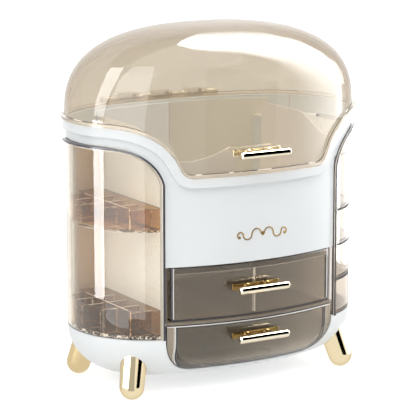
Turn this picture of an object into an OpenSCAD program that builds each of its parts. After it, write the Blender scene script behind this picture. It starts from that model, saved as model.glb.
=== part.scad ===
// Countertop makeup organizer: an oval cabinet on four feet with a hinged dome lid,
// two front drawers, a swing door on the left and four swing-out bins on the right.
// X runs to the right, the front faces -Y, Z is up, and the feet stand on Z = 0.

/* [Body] */
// Half the width of the oval plan
half_w = 155; // [145:1:170]
// Half the depth of the oval plan
half_d = 95; // [88:1:102]
// Radius of the broad front and back faces
face_r = 305; // [290:1:330]
// Wall of the white mouldings
wall = 3; // [2.4:0.1:4]
// Underside of the bowl above the table
bowl_z = 16; // [12:1:24]
// Height of the bowl's rim
rim_z = 61; // [58:1:66]
// Total height to the top of the dome
top_z = 362; // [340:1:400]

/* [Parting line] */
// Height of the lid's parting line at the sides and back
seam_z = 271; // [266:1:285]
// Height of the dip in the parting line at the front
dip_z = 221; // [205:1:226]
// Half the width of the flat bottom of the dip
dip_half_w = 71; // [60:1:76]
// Radius of the dip's lower corners
dip_r = 14; // [8:1:20]
// Radius of the shoulders beside the dip
shoulder_r = 65; // [58:1:72]
// Slope between corner and shoulder, in degrees
dip_slope = 65; // [60:1:70]
// Height of the bead under the parting line
bead_h = 9; // [6:1:11]
// Reach of the bead past the wall
bead_out = 3; // [1.5:0.5:3.5]
// Distance from the parting line down to the side openings
band_h = 18; // [14:1:22]
// Running gap round doors, bins and drawer fronts
gap = 0.6; // [0.4:0.1:1]

/* [Lid] */
// Wall of the clear lid
lid_wall = 2.2; // [1.6:0.1:3]
// Reach of the lid's lip past the body
lip_out = 5; // [4:0.5:6]
// Thickness of the lid's lip
lip_h = 3.6; // [2.5:0.1:5]
// Exponent of the dome's rounding, 2 is an ellipse
dome_power = 2.6; // [2:0.1:3.2]

/* [Front] */
// Half the distance between the two side openings
post_x = 99; // [98:0.5:102]
// Lower edge of the front panel
panel_z = 134; // [128:1:140]
// Thickness of the partitions beside the drawers
partition_t = 2.5; // [2:0.1:3.5]
// Thickness of shelves and floors
shelf_t = 2.5; // [2:0.1:3.5]
// Underside of the shelf between the drawers
shelf_z = 75.8; // [74:0.2:80]
// Wall of the drawer trays
tray_wall = 1.8; // [1.4:0.1:2.4]
// Thickness of the drawer fronts
front_t = 2.6; // [2:0.1:3.4]
// Half the width of the upper drawer's front
upper_half_w = 92; // [86:0.5:93]
// Half the width of the lower drawer's front
lower_half_w = 97; // [92:0.5:97.5]
// Lowest point of the lower drawer's front
lower_z = 26; // [24:0.5:32]
// Corner radius of the lower drawer's front
lower_r = 34; // [20:1:38]
// How far the trays stop short of the oval's back face
tray_short = 20; // [16:1:40]

/* [Handles] */
// Sideways place of the three handles
handle_x = -4; // [-20:1:20]
// Length of the handle bars
bar_len = 57; // [40:1:70]
// Radius of the handle bars
bar_r = 3.9; // [2.8:0.1:4.5]
// Distance from the front face to the bar's axis
bar_out = 16.5; // [14:0.5:18]
// Half the distance between the posts
post_gap = 11.5; // [8:0.5:18]
// Length of the back plates
plate_len = 54; // [36:1:66]
// Height of the back plates
plate_h = 7; // [6:0.5:10]
// Thickness of the back plates
plate_t = 1.6; // [1:0.1:2.4]
// Height of the lid's handle
lid_handle_z = 244; // [238:1:250]
// Height of the upper drawer's handle
upper_handle_z = 109.5; // [95:0.5:120]
// Height of the lower drawer's handle
lower_handle_z = 60; // [50:0.5:64]

/* [Sides] */
// Wall of the clear door and bins
door_t = 2.2; // [1.6:0.1:3]
// Reach of the finger lip on the door and the bins
door_lip = 4; // [2:0.5:5]
// Width of that lip
door_lip_w = 2.6; // [2:0.1:4]
// Distance of the hinge pins in front of the oval's back third
pivot_y = 45.4; // [40:0.2:50]
// Depth of the hinge pins inside the outer face
pivot_in = 5; // [4.8:0.1:7]
// Radius of the hinge barrels
barrel_r = 4.5; // [3.6:0.1:4.6]
// Radius of the hinge pins
pin_r = 1.5; // [1.2:0.1:2]
// Free radius round the hinge pins
swing_r = 9.1; // [8:0.1:12]
// Underside of the side compartments' floors
wing_z = 247.5; // [243:0.5:248]
// Height of each swing-out bin
bin_h = 36.4; // [30:0.2:40]
// Underside of the upper left tray
mid_tray_z = 168.8; // [150:0.2:180]
// Depth of the upper left tray
mid_tray_h = 24; // [18:1:34]
// Depth of the lower left tray
low_tray_h = 29; // [20:1:40]
// Pitch of the cells in the left trays
cell = 26; // [22:1:34]

/* [Feet] */
// Distance of the feet in from the oval's ends
foot_in_x = 31; // [26:1:44]
// Distance of the feet in from the oval's broad faces
foot_in_y = 38; // [35:1:50]
// Radius of a foot at its round end
foot_r = 12.5; // [10:0.5:14]
// Radius of a foot where it meets the bowl
foot_top_r = 14; // [12:0.5:16]
// Outward tilt of the feet, in degrees
foot_tilt = 20; // [10:1:24]

/* [Divider] */
// Distance of the low divider in front of the middle
divider_y = 55; // [45:1:60]
// Right end of the divider at the floor
divider_end = 25; // [10:1:60]
// Sideways place of the divider's peak, left of the middle
peak_x = 10.8; // [5:0.2:30]
// Rise of the divider's peak above the dip
peak_rise = 22.5; // [16:0.5:26]
// Sideways place of the hollow in the divider's top edge, left of the middle
hollow_x = 62; // [50:1:75]
// Radius of that hollow
hollow_r = 120; // [100:1:160]
// Rise of the hollow's lowest point above the dip
hollow_rise = 11; // [6:0.5:14]
// Thickness of the divider
divider_w = 2; // [1.4:0.1:3]

/* [Ornament] */
// Sideways place of the gold scroll
scroll_x = 4; // [-30:1:30]
// Height of the gold scroll
scroll_z = 161; // [150:1:190]
// Length of the gold scroll
scroll_len = 59; // [40:1:80]
// Thickness of the gold scroll
scroll_t = 0.6; // [0.4:0.1:1.2]

/* [Hidden] */
$fn = 64;
face_fn = 360;

// Oval plan: two end circles joined by two broad arcs that meet them in line.
face_y = face_r - half_d;
end_r = (face_r * face_r - half_w * half_w - face_y * face_y) / (2 * (face_r - half_w));
end_x = half_w - end_r;
reach = 2 * half_w;
far_x = end_x + reach * end_x / face_y;
join_a = atan(end_x / face_y);

// Parting line: the shoulder's centre follows from the corner and the slope.
corner_z = dip_z + dip_r;
centre_z = seam_z - shoulder_r;
corner_end = [dip_half_w + dip_r * sin(dip_slope), corner_z - dip_r * cos(dip_slope)];
slope_end_z = centre_z + shoulder_r * cos(dip_slope);
slope_end_x = corner_end[0] + (slope_end_z - corner_end[1]) / tan(dip_slope);
shoulder_x = slope_end_x + shoulder_r * sin(dip_slope);
opening_r = shoulder_r - band_h;
opening_top = seam_z - band_h;

// Side bays
pivot_a = asin(pivot_y / (end_r - pivot_in));
pivot_x = end_x + (end_r - pivot_in) * cos(pivot_a);
bulkhead_y = pivot_y + swing_r;
bay_back_y = bulkhead_y - 4.5;
bay_x = post_x - 1;
partition_x = bay_x - partition_t;
bin_x = bay_x + 1.5;
fit = 0.05;
seat = 0.3;
pin_foot = 5;
barrel_z = rim_z + gap;
barrel_top = wing_z - gap;

// Drawers
shelf_top = shelf_z + shelf_t;
tray_back_y = half_d - tray_short;
lower_back_y = tray_back_y - 9;
tray_skin = -front_t - 0.2;
upper_tray_half = upper_half_w - 2;
upper_tray_z = shelf_top + seat;
upper_tray_h = 48;
lower_tray_half = lower_half_w - 10;
lower_tray_z = lower_z + 5;
lower_tray_top = shelf_z - 4;
lower_corner = 26;
rail_x = 45;
rail_w = 3;
rail_y = -60;
divider_t = 1.5;

// Lid hinge
hinge_y = half_d + lip_out + 7;
hinge_z = seam_z + 2;
knuckle_r = 4.8;
knuckle_w = 20;
knuckle_count = 7;
hinge_len = knuckle_w * knuckle_count;
lid_gap = 0.4;
lid_out = 1;
lid_rest = 0.25;
lip_top = seam_z + lid_gap + lip_h;

// Small fasteners
screw_r = 1.4;
screw_head_r = 2.8;
screw_head_h = 1.8;
foot_screw_r = 2;
foot_head_h = 2.4;
foot_x = half_w - foot_in_x;
foot_y = half_d - foot_in_y;
foot_angle = atan2(foot_y, foot_x - end_x);
boss_r = 6;
boss_top = 32;
foot_len = 40;

white = [0.93, 0.94, 0.94];
champagne = [0.86, 0.81, 0.74, 0.55];
smoke = [0.45, 0.42, 0.37, 0.7];
amber = [0.72, 0.62, 0.5, 0.6];
gold = [0.9, 0.79, 0.58];
steel = [0.7, 0.7, 0.72];

// ---- plan and profile helpers ----

// Region between the radial lines from the broad arcs' centres
module middle_wedge() {
  polygon([
    [end_x, 0], [far_x, -reach], [-far_x, -reach],
    [-end_x, 0], [-far_x, reach], [far_x, reach]
  ]);
}

// Region outside those lines on one side
module end_wedge(s) {
  polygon([
    [s * end_x, 0], [s * far_x, -reach], [s * 2 * reach, -reach],
    [s * 2 * reach, reach], [s * far_x, reach]
  ]);
}

// The oval plan, grown by d
module oval(d = 0) {
  for (s = [-1, 1]) translate([s * end_x, 0]) circle(r = end_r + d);
  intersection() {
    translate([0, face_y]) circle(r = face_r + d, $fn = face_fn);
    translate([0, -face_y]) circle(r = face_r + d, $fn = face_fn);
    middle_wedge();
  }
}

module slab(d, z0, z1) {
  translate([0, 0, z0]) linear_extrude(z1 - z0) oval(d);
}

module ring(d_out, d_in, z0, z1) {
  translate([0, 0, z0]) linear_extrude(z1 - z0) difference() {
    oval(d_out);
    oval(d_in);
  }
}

// Extrudes an XZ outline from y0 to y1
module along_y(y0, y1) {
  translate([0, y1, 0]) rotate([90, 0, 0]) linear_extrude(y1 - y0) children();
}

// Right half of the parting line, lowered by d
function step_points(d) = concat(
  [for (i = [0 : 5]) let (a = i * dip_slope / 5)
    [dip_half_w + (dip_r + d) * sin(a), corner_z - (dip_r + d) * cos(a)]],
  [for (i = [0 : 8]) let (a = dip_slope * (1 - i / 8))
    [shoulder_x - (shoulder_r - d) * sin(a), centre_z + (shoulder_r - d) * cos(a)]]
);

function mirrored(pts) = [for (i = [len(pts) - 1 : -1 : 0]) [-pts[i][0], pts[i][1]]];

// Everything above the parting line lowered by d
module above_step(d) {
  polygon(concat(
    mirrored(step_points(d)), step_points(d),
    [[reach, seam_z - d], [reach, top_z + 10], [-reach, top_z + 10], [-reach, seam_z - d]]
  ));
}

// Height of the parting line at x, for the front half
function seam_at(x) =
  let (u = abs(x))
  u <= dip_half_w ? dip_z :
  u <= corner_end[0] ? corner_z - sqrt(dip_r * dip_r - pow(u - dip_half_w, 2)) :
  u <= slope_end_x ? corner_end[1] + (u - corner_end[0]) * tan(dip_slope) :
  u < shoulder_x ? centre_z + sqrt(shoulder_r * shoulder_r - pow(shoulder_x - u, 2)) :
  seam_z;

// Right side opening seen from the front, drawn g inside its edge
module side_outline(g, z0) {
  r = opening_r - g;
  a0 = asin((shoulder_x - post_x - g) / r);
  polygon(concat(
    [[post_x + g, z0]],
    [for (i = [0 : 10]) let (a = a0 * (1 - i / 10)) [shoulder_x - r * sin(a), centre_z + r * cos(a)]],
    [[reach, opening_top - g], [reach, z0]]
  ));
}

module box(x0, x1, y0, y1, z0, z1) {
  translate([x0, y0, z0]) cube([x1 - x0, y1 - y0, z1 - z0]);
}

// A box on side s, from x0 to x1 away from the middle
module side_box(s, x0, x1, y0, y1, z0, z1) {
  box(min(s * x0, s * x1), max(s * x0, s * x1), y0, y1, z0, z1);
}

// Half profile of the bowl for a revolve of radius r, grown by d
module bowl_profile(r, d, z1) {
  round_r = rim_z - bowl_z;
  intersection() {
    union() {
      translate([r - round_r, rim_z]) circle(r = round_r + d);
      translate([0, bowl_z - d]) square([r - round_r, round_r]);
      translate([0, rim_z]) square([r + d, z1 - rim_z + 1]);
    }
    translate([0, bowl_z - d]) square([r + d, z1 - bowl_z + d]);
  }
}

// Solid of the bowl's outer shape, grown by d and cut off at z1
module bowl_solid(d, z1) {
  for (s = [-1, 1]) intersection() {
    translate([s * end_x, 0, 0]) rotate_extrude() bowl_profile(end_r, d, z1);
    linear_extrude(top_z) end_wedge(s);
  }
  intersection() {
    translate([0, face_y, 0]) rotate_extrude($fn = face_fn) bowl_profile(face_r, d, z1);
    translate([0, -face_y, 0]) rotate_extrude($fn = face_fn) bowl_profile(face_r, d, z1);
    linear_extrude(top_z) middle_wedge();
  }
}

// The same shape for the front face alone
module face_solid(d, z1) {
  translate([0, face_y, 0]) rotate_extrude($fn = face_fn) bowl_profile(face_r, d, z1);
}

// Outline of the lower drawer: straight top, round lower corners
module drawer_outline(w, z0, z1, r) {
  for (s = [-1, 1]) translate([s * (w - r), z0 + r]) circle(r = r);
  translate([r - w, z0]) square([2 * (w - r), r + 1]);
  translate([-w, z0 + r]) square([2 * w, z1 - z0 - r]);
}

// ---- cabinet ----

// Frame of a foot: its axis is Z, with the round end's centre at the origin
module at_foot(sx, sy) {
  translate([sx * foot_x, sy * foot_y, foot_r - 0.4])
    rotate([0, 0, sx > 0 ? sy * foot_angle : 180 - sy * foot_angle])
      rotate([0, -foot_tilt, 0]) children();
}

module each_foot() {
  for (sx = [-1, 1], sy = [-1, 1]) at_foot(sx, sy) children();
}

// Bowl with a deck under each side bay, rails for the lower drawer and screw bosses
module base_bowl() {
  color(white) difference() {
    bowl_solid(0, rim_z);
    difference() {
      bowl_solid(-wall, rim_z + 1);
      for (s = [-1, 1]) {
        side_box(s, partition_x, reach, -reach, reach, rim_z - wall, rim_z + 2);
        side_box(s, rail_x - rail_w / 2, rail_x + rail_w / 2, rail_y, tray_back_y, 0, lower_tray_z - seat);
      }
      each_foot() cylinder(r = boss_r, h = boss_top);
    }
    along_y(-reach, 0) drawer_outline(lower_half_w + gap, lower_z - gap, rim_z + 20, lower_r + gap);
    for (s = [-1, 1]) translate([s * pivot_x, pivot_y, rim_z - pin_foot])
      cylinder(r = pin_r + fit, h = pin_foot + 1);
    each_foot() cylinder(r = foot_screw_r + 0.2, h = boss_top + 1);
  }
}

// Upright wall with the bead, the two bulkheads, and the openings cut out
module cabinet_shell() {
  color(white) difference() {
    union() {
      ring(0, -wall, rim_z, seam_z);
      difference() {
        ring(bead_out, -wall / 2, dip_z - bead_h - 1, seam_z);
        box(-reach, reach, 0, reach, 0, seam_z - bead_h);
        difference() {
          box(-reach, reach, -reach, 0, 0, seam_z);
          along_y(-reach, 1) above_step(bead_h);
        }
      }
      for (s = [-1, 1]) intersection() {
        slab(-wall / 2, rim_z, wing_z);
        union() {
          side_box(s, bay_x, reach, bulkhead_y, bulkhead_y + wall, rim_z, wing_z);
          side_box(s, bay_x, bay_x + wall, bulkhead_y, half_d, rim_z, wing_z);
        }
      }
    }
    along_y(-reach, 0) above_step(0);
    for (s = [0, 1]) mirror([s, 0, 0]) along_y(-reach, bulkhead_y) side_outline(0, 0);
    box(-post_x, post_x, -reach, 0, 0, panel_z);
  }
}

// Upright plate beside the drawers. It stands behind the lower drawer's front,
// and its top edge steps down towards the panel.
module partition(s) {
  under_y = face_y - sqrt(pow(face_r - front_t, 2) - lower_half_w * lower_half_w) + gap;
  front_y = face_y - sqrt(pow(face_r - seat, 2) - bay_x * bay_x);
  panel_y = face_y - sqrt(pow(face_r - wall, 2) - bay_x * bay_x) + fit;
  crest_z = seam_z - 5;
  low_z = seam_at(bay_x) - 3;
  step_y = 8;
  step_w = 55;
  round_r = 6;
  color(white) translate([s > 0 ? partition_x : -bay_x, 0, 0]) rotate([90, 0, 90])
    linear_extrude(partition_t) polygon([
      [under_y, rim_z], [under_y, shelf_top], [front_y, shelf_top],
      [front_y, panel_z], [panel_y, panel_z], [panel_y, low_z],
      for (i = [0 : 8]) let (t = i / 8)
        [panel_y + step_y + t * step_w, low_z + (crest_z - low_z) * (1 - cos(180 * t)) / 2],
      for (a = [90 : -15 : 0])
        [bulkhead_y - round_r + round_r * cos(a), crest_z - round_r + round_r * sin(a)],
      [bulkhead_y, rim_z]
    ]);
}

module top_floor() {
  color(white) difference() {
    slab(-wall, panel_z, panel_z + shelf_t);
    for (s = [-1, 1]) {
      side_box(s, partition_x, reach, -reach, bulkhead_y, 0, seam_z);
      side_box(s, bay_x, reach, 0, reach, 0, seam_z);
    }
  }
}

module drawer_shelf() {
  color(amber) intersection() {
    slab(-0.5, shelf_z, shelf_top);
    box(-partition_x, partition_x, -reach, tray_back_y + 1, 0, seam_z);
  }
}

// Floor of a side compartment, with an ear over the hinge pin
module wing_floor(s) {
  color(white) difference() {
    intersection() {
      union() {
        slab(-wall - seat, wing_z, wing_z + shelf_t);
        translate([s * pivot_x, pivot_y, wing_z]) cylinder(r = pivot_in - 0.2, h = shelf_t);
      }
      side_box(s, bay_x, reach, -reach, reach, 0, seam_z);
    }
    translate([s * pivot_x, pivot_y, 0]) cylinder(r = pin_r + fit, h = seam_z);
  }
}

// Low upright plate in the top compartment, its top edge a hollow arc
module front_divider() {
  peak_z = dip_z + peak_rise;
  floor_top = panel_z + shelf_t;
  color(white) along_y(-divider_y - divider_w / 2, -divider_y + divider_w / 2) difference() {
    polygon([[-partition_x, floor_top], [divider_end, floor_top],
             [-peak_x, peak_z], [-partition_x, peak_z]]);
    translate([-hollow_x, dip_z + hollow_rise + hollow_r]) circle(r = hollow_r, $fn = 120);
  }
}

// ---- left bay ----

// Plan of a left tray, inset by d
module tray_plan(d) {
  difference() {
    intersection() {
      oval(-door_t - 1.8 - d);
      translate([-reach, -reach]) square([reach - bay_x - seat - d, reach + bay_back_y - d]);
    }
    translate([-pivot_x, pivot_y]) circle(r = swing_r + 1.4 + d);
  }
}

module cell_tray(z0, h) {
  difference() {
    translate([0, 0, z0]) linear_extrude(h) tray_plan(0);
    translate([0, 0, z0 + tray_wall]) linear_extrude(h) tray_plan(tray_wall);
  }
}

// Upright plates that part a tray into cells
module cell_plates(z0, h) {
  long_x = -bay_x - seat - cell;
  rows = floor((bay_back_y + half_d) / cell);
  intersection() {
    union() {
      box(long_x - divider_t / 2, long_x + divider_t / 2, -reach, reach, z0, z0 + h);
      for (i = [0 : rows - 1]) let (y = bay_back_y - tray_wall - (i + 1) * cell) {
        box(-reach, long_x - divider_t / 2 - fit, y, y + divider_t, z0, z0 + h - 2);
        box(long_x + divider_t / 2 + fit, -bay_x, y, y + divider_t, z0, z0 + h - 2);
      }
    }
    translate([0, 0, z0]) linear_extrude(h) tray_plan(tray_wall + fit);
  }
}

module left_mid_tray() {
  color(amber) union() {
    cell_tray(mid_tray_z, mid_tray_h);
    box(-bay_x - 6, -bay_x - 0.02, -60, bay_back_y - 4, mid_tray_z - 3, mid_tray_z);
  }
}

module left_low_tray() {
  color(amber) cell_tray(rim_z + 0.1, low_tray_h);
}

module left_mid_cells() {
  color(amber) cell_plates(mid_tray_z + tray_wall, mid_tray_h - tray_wall - 1);
}

module left_low_cells() {
  color(amber) cell_plates(rim_z + 0.1 + tray_wall, low_tray_h - tray_wall - 1);
}

// ---- hinge pins ----

module hinge_pin(s) {
  color(steel) translate([s * pivot_x, pivot_y, rim_z - pin_foot])
    cylinder(r = pin_r, h = wing_z + shelf_t + pin_foot - rim_z);
}

module knuckle(i) {
  x0 = -hinge_len / 2 + i * knuckle_w + 0.25;
  translate([x0, hinge_y, hinge_z]) rotate([0, 90, 0]) cylinder(r = knuckle_r, h = knuckle_w - 0.5);
}

module hinge_bore() {
  translate([-hinge_len, hinge_y, hinge_z]) rotate([0, 90, 0]) cylinder(r = pin_r + fit, h = 2 * hinge_len);
}

// Fixed knuckles: each arm runs under the lid's lip to the bead
module lid_hinge_brackets() {
  color(white) difference() {
    for (i = [0 : 2 : knuckle_count - 1]) let (x0 = -hinge_len / 2 + i * knuckle_w + 0.25) {
      knuckle(i);
      box(x0, x0 + knuckle_w - 0.5, half_d / 2, hinge_y + 2, seam_z - bead_h + 1, seam_z - 0.5);
    }
    slab(bead_out, 0, seam_z + 1);
    hinge_bore();
  }
}

module lid_hinge_pin() {
  color(steel) translate([-hinge_len / 2 + 0.25, hinge_y, hinge_z]) rotate([0, 90, 0])
    cylinder(r = pin_r, h = hinge_len - 0.5);
}

// ---- ornament ----

module arc_band(r, w, a0, a1) {
  intersection() {
    difference() {
      circle(r = r + w / 2);
      circle(r = r - w / 2);
    }
    polygon([[0, 0], for (i = [0 : 6]) let (a = a0 + (a1 - a0) * i / 6) 3 * r * [cos(a), sin(a)]]);
  }
}

// Symmetric scroll: a diamond between two runs of waves that end in curls
module scroll_outline() {
  u = scroll_len / 59;
  w = 1.1 * u;
  rotate(45) square(3.4 * u, center = true);
  for (s = [0, 1]) mirror([s, 0]) {
    translate([7.2 * u, 0]) arc_band(5.4 * u, w, -2, 182);
    translate([17.4 * u, 0]) arc_band(4.8 * u, w, 178, 362);
    translate([25.4 * u, 0]) arc_band(3.2 * u, w, -60, 182);
    translate([26.4 * u, -2.2 * u]) circle(r = 1.3 * u);
  }
}

module gold_scroll() {
  color(gold) intersection() {
    ring(scroll_t, 0, scroll_z - scroll_len / 2, scroll_z + scroll_len / 2);
    along_y(-reach, 0) translate([scroll_x, scroll_z]) scroll_outline();
  }
}

// ---- feet ----

module foot(sx, sy) {
  color(gold) difference() {
    at_foot(sx, sy) difference() {
      union() {
        sphere(r = foot_r);
        cylinder(r1 = foot_r, r2 = foot_top_r, h = foot_len);
      }
      cylinder(r = foot_screw_r, h = foot_len + 1);
    }
    box(-reach, reach, -reach, reach, -foot_r, 0);
    bowl_solid(0.02, rim_z + 1);
  }
}

module foot_screws() {
  color(steel) each_foot() {
    cylinder(r = foot_screw_r, h = boss_top);
    translate([0, 0, boss_top]) cylinder(r = 2 * foot_screw_r, h = foot_head_h);
  }
}

// ---- lid ----

// Outward normal and foot point of the oval, for each column of the lid
function end_point(a) = [[end_x + end_r * cos(a), end_r * sin(a)], [cos(a), sin(a)]];
function face_point(x) =
  let (s = x / face_r) [[x, face_y - face_r * sqrt(1 - s * s)], [s, -sqrt(1 - s * s)]];
join_x = face_r * sin(join_a);
step_x = [for (p = step_points(0)) p[0]];
front_right = concat(
  [for (x = [0, 25, 49]) face_point(x)],
  [for (x = step_x) if (x < join_x) face_point(x)],
  [for (x = step_x) if (x >= join_x) end_point(-acos((x - end_x) / end_r))],
  [end_point(-19), end_point(-9)]
);
function flip_x(c) = [[-c[0][0], c[0][1]], [-c[1][0], c[1][1]]];
function flip_y(c) = [[c[0][0], -c[0][1]], [c[1][0], -c[1][1]]];
back_right = concat(
  [for (a = [0 : 12 : 66]) end_point(a)],
  [for (x = [95, 70, 45, 22, 0]) flip_y(face_point(x))]
);
right_side = concat(front_right, back_right);
lid_columns = concat(right_side, [for (i = [len(right_side) - 2 : -1 : 1]) flip_x(right_side[i])]);

// One point of the lid: column c, offset d, height h above the local seam
function lip_point(c, d, h) =
  let (p = c[0] + d * c[1])
  [p[0], p[1], (p[1] < 0 ? seam_at(p[0]) : seam_z) + lid_gap + h];

// One point of the dome: column c, offset d, top height z1, angle a up from the base
function dome_point(c, d, z1, a) =
  let (p = c[0] + d * c[1], k = pow(cos(a), 2 / dome_power), base = lip_top + 0.5)
  [p[0] * k, p[1] * k, base + (z1 - base) * pow(sin(a), 2 / dome_power)];

module lid_shell() {
  out = lid_out;
  in = out - lid_wall;
  steps = [8, 18, 30, 43, 56, 68, 79];
  n = len(lid_columns);
  rings = concat(
    [[for (c = lid_columns) lip_point(c, in, 0)]],
    [[for (c = lid_columns) lip_point(c, lip_out, 0)]],
    [[for (c = lid_columns) lip_point(c, lip_out, lip_h)]],
    [[for (c = lid_columns) lip_point(c, out, lip_h)]],
    [[for (c = lid_columns) dome_point(c, out, top_z, 0)]],
    [for (a = steps) [for (c = lid_columns) dome_point(c, out, top_z, a)]]
  );
  inner = concat(
    [for (i = [len(steps) - 1 : -1 : 0])
      [for (c = lid_columns) dome_point(c, in, top_z - lid_wall, steps[i])]],
    [[for (c = lid_columns) dome_point(c, in, top_z - lid_wall, 0)]]
  );
  m = len(rings);
  k = len(inner);
  top = (m + k) * n;
  points = concat(
    [for (r = rings) each r], [for (r = inner) each r],
    [[0, 0, top_z], [0, 0, top_z - lid_wall]]
  );
  function band(a, b) = [for (i = [0 : n - 1]) let (j = (i + 1) % n)
    each [[a * n + i, b * n + i, b * n + j], [a * n + i, b * n + j, a * n + j]]];
  faces = concat(
    [for (r = [0 : m - 2]) each band(r, r + 1)],
    [for (i = [0 : n - 1]) [(m - 1) * n + i, top, (m - 1) * n + (i + 1) % n]],
    [for (i = [0 : n - 1]) [m * n + (i + 1) % n, top + 1, m * n + i]],
    [for (r = [m : m + k - 2]) each band(r, r + 1)],
    band(m + k - 1, 0)
  );
  color(champagne) difference() {
    polyhedron(points, faces, convexity = 6);
    screw_holes(lid_handle_z);
  }
}

// Moving knuckles: each arm sits on the lid's lip
module lid_knuckles() {
  color(champagne) difference() {
    for (i = [1 : 2 : knuckle_count - 1]) let (x0 = -hinge_len / 2 + i * knuckle_w + 0.25) {
      knuckle(i);
      box(x0, x0 + knuckle_w - 0.5, half_d / 2, hinge_y, lip_top + 0.05, lip_top + 5);
    }
    slab(lid_out + seat, 0, top_z);
    hinge_bore();
  }
}

// ---- handles ----

// Bar with chamfered ends on two posts; d is the face it stands on
module handle(z, d) {
  chamfer = 1;
  post_r = 2.6;
  y = -half_d - d - bar_out;
  color(gold) difference() {
    union() {
      translate([handle_x - bar_len / 2, y, z]) rotate([0, 90, 0]) {
        translate([0, 0, chamfer]) cylinder(r = bar_r, h = bar_len - 2 * chamfer);
        cylinder(r1 = bar_r - chamfer, r2 = bar_r, h = chamfer);
        translate([0, 0, bar_len - chamfer]) cylinder(r1 = bar_r, r2 = bar_r - chamfer, h = chamfer);
      }
      for (s = [-1, 1]) translate([handle_x + s * post_gap, y, z])
        rotate([-90, 0, 0]) cylinder(r = post_r, h = bar_out + 4);
    }
    slab(d + plate_t, z - 20, z + 20);
    for (s = [-1, 1]) translate([handle_x + s * post_gap, y + bar_r, z])
      rotate([-90, 0, 0]) cylinder(r = screw_r, h = bar_out + 4);
  }
}

module handle_plate(z, d) {
  color(gold) difference() {
    intersection() {
      ring(d + plate_t, d, z - plate_h / 2, z + plate_h / 2);
      along_y(-reach, 0) translate([handle_x, z]) {
        square([plate_len - plate_h, plate_h], center = true);
        for (s = [-1, 1]) translate([s * (plate_len - plate_h) / 2, 0]) circle(r = plate_h / 2);
      }
    }
    screw_holes(z);
  }
}

module screw_holes(z) {
  for (s = [-1, 1]) translate([handle_x + s * post_gap, -half_d - bar_out, z]) rotate([-90, 0, 0])
    cylinder(r = screw_r + 0.15, h = bar_out + 30);
}

// Two screws whose heads lie against the inner face at depth d_in, rest away from it
module handle_screws(z, d, d_in, rest) {
  color(steel) for (s = [-1, 1]) {
    x = handle_x + s * post_gap;
    head_y = face_y - sqrt(pow(face_r + d_in, 2) - pow(abs(x) + screw_head_r, 2)) + rest;
    translate([x, head_y, z]) {
      rotate([90, 0, 0]) cylinder(r = screw_r, h = head_y + half_d + d + plate_t + 6);
      rotate([-90, 0, 0]) cylinder(r = screw_head_r, h = screw_head_h);
    }
  }
}

// ---- drawers ----

module upper_drawer_front() {
  color(smoke) difference() {
    intersection() {
      ring(0, -front_t, shelf_top + 1, panel_z - gap);
      box(-upper_half_w, upper_half_w, -reach, 0, 0, seam_z);
    }
    screw_holes(upper_handle_z);
  }
}

module upper_drawer_tray() {
  color(smoke) difference() {
    intersection() {
      slab(tray_skin, upper_tray_z, upper_tray_z + upper_tray_h);
      box(-upper_tray_half, upper_tray_half, -reach, tray_back_y, 0, seam_z);
    }
    intersection() {
      slab(tray_skin - tray_wall, upper_tray_z + tray_wall, panel_z);
      box(-upper_tray_half + tray_wall, upper_tray_half - tray_wall,
        -reach, tray_back_y - tray_wall, 0, seam_z);
      union() {
        box(-reach, handle_x - divider_t / 2, -reach, reach, 0, seam_z);
        box(handle_x + divider_t / 2, reach, -reach, reach, 0, seam_z);
        box(-reach, reach, -reach, reach, upper_tray_z + upper_tray_h - 12, seam_z);
      }
    }
    screw_holes(upper_handle_z);
  }
}

module lower_drawer_front() {
  color(smoke) difference() {
    intersection() {
      face_solid(0, shelf_z - gap);
      along_y(-reach, -half_d / 3) drawer_outline(lower_half_w, lower_z, shelf_z + 1, lower_r);
    }
    face_solid(-front_t, shelf_z + 1);
    screw_holes(lower_handle_z);
  }
}

module lower_drawer_tray() {
  color(smoke) difference() {
    intersection() {
      face_solid(tray_skin,lower_tray_top);
      along_y(-reach, lower_back_y)
        drawer_outline(lower_tray_half, lower_tray_z, lower_tray_top + 1, lower_corner);
    }
    intersection() {
      face_solid(tray_skin - tray_wall, lower_tray_top + 2);
      along_y(-reach, lower_back_y - tray_wall)
        drawer_outline(lower_tray_half - tray_wall, lower_tray_z + tray_wall,
          lower_tray_top + 3, lower_corner - tray_wall);
    }
    screw_holes(lower_handle_z);
  }
}

// ---- door and bins ----

// Skin with a raised finger lip along its front and top edges, on the right side
module side_skin(z0, z1) {
  lip_end = pivot_y - 16;
  intersection() {
    union() {
      difference() {
        ring(0, -door_t, z0, z1);
        box(-reach, reach, pivot_y, reach, 0, top_z);
      }
      difference() {
        ring(door_lip, -door_t / 2, z0, z1);
        along_y(-reach, reach) side_outline(gap + door_lip_w, 0);
        box(-reach, reach, lip_end, reach, 0, top_z);
      }
    }
    along_y(-reach, reach) side_outline(gap, 0);
  }
}

module barrel(z0, z1) {
  translate([pivot_x, pivot_y, z0]) cylinder(r = barrel_r, h = z1 - z0);
}

module barrel_bore() {
  translate([pivot_x, pivot_y, 0]) cylinder(r = pin_r + fit, h = top_z);
}

module left_door() {
  color(champagne) mirror([1, 0, 0]) difference() {
    union() {
      difference() {
        side_skin(barrel_z, opening_top);
        translate([pivot_x, pivot_y, barrel_top]) cylinder(r = pivot_in + 2, h = top_z);
      }
      barrel(barrel_z, barrel_top);
    }
    barrel_bore();
  }
}

// Plan of a swing-out bin, inset by d
module bin_plan(d) {
  intersection() {
    oval(-d);
    translate([bin_x + d, -reach]) square([reach, reach + bay_back_y - d]);
  }
}

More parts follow.
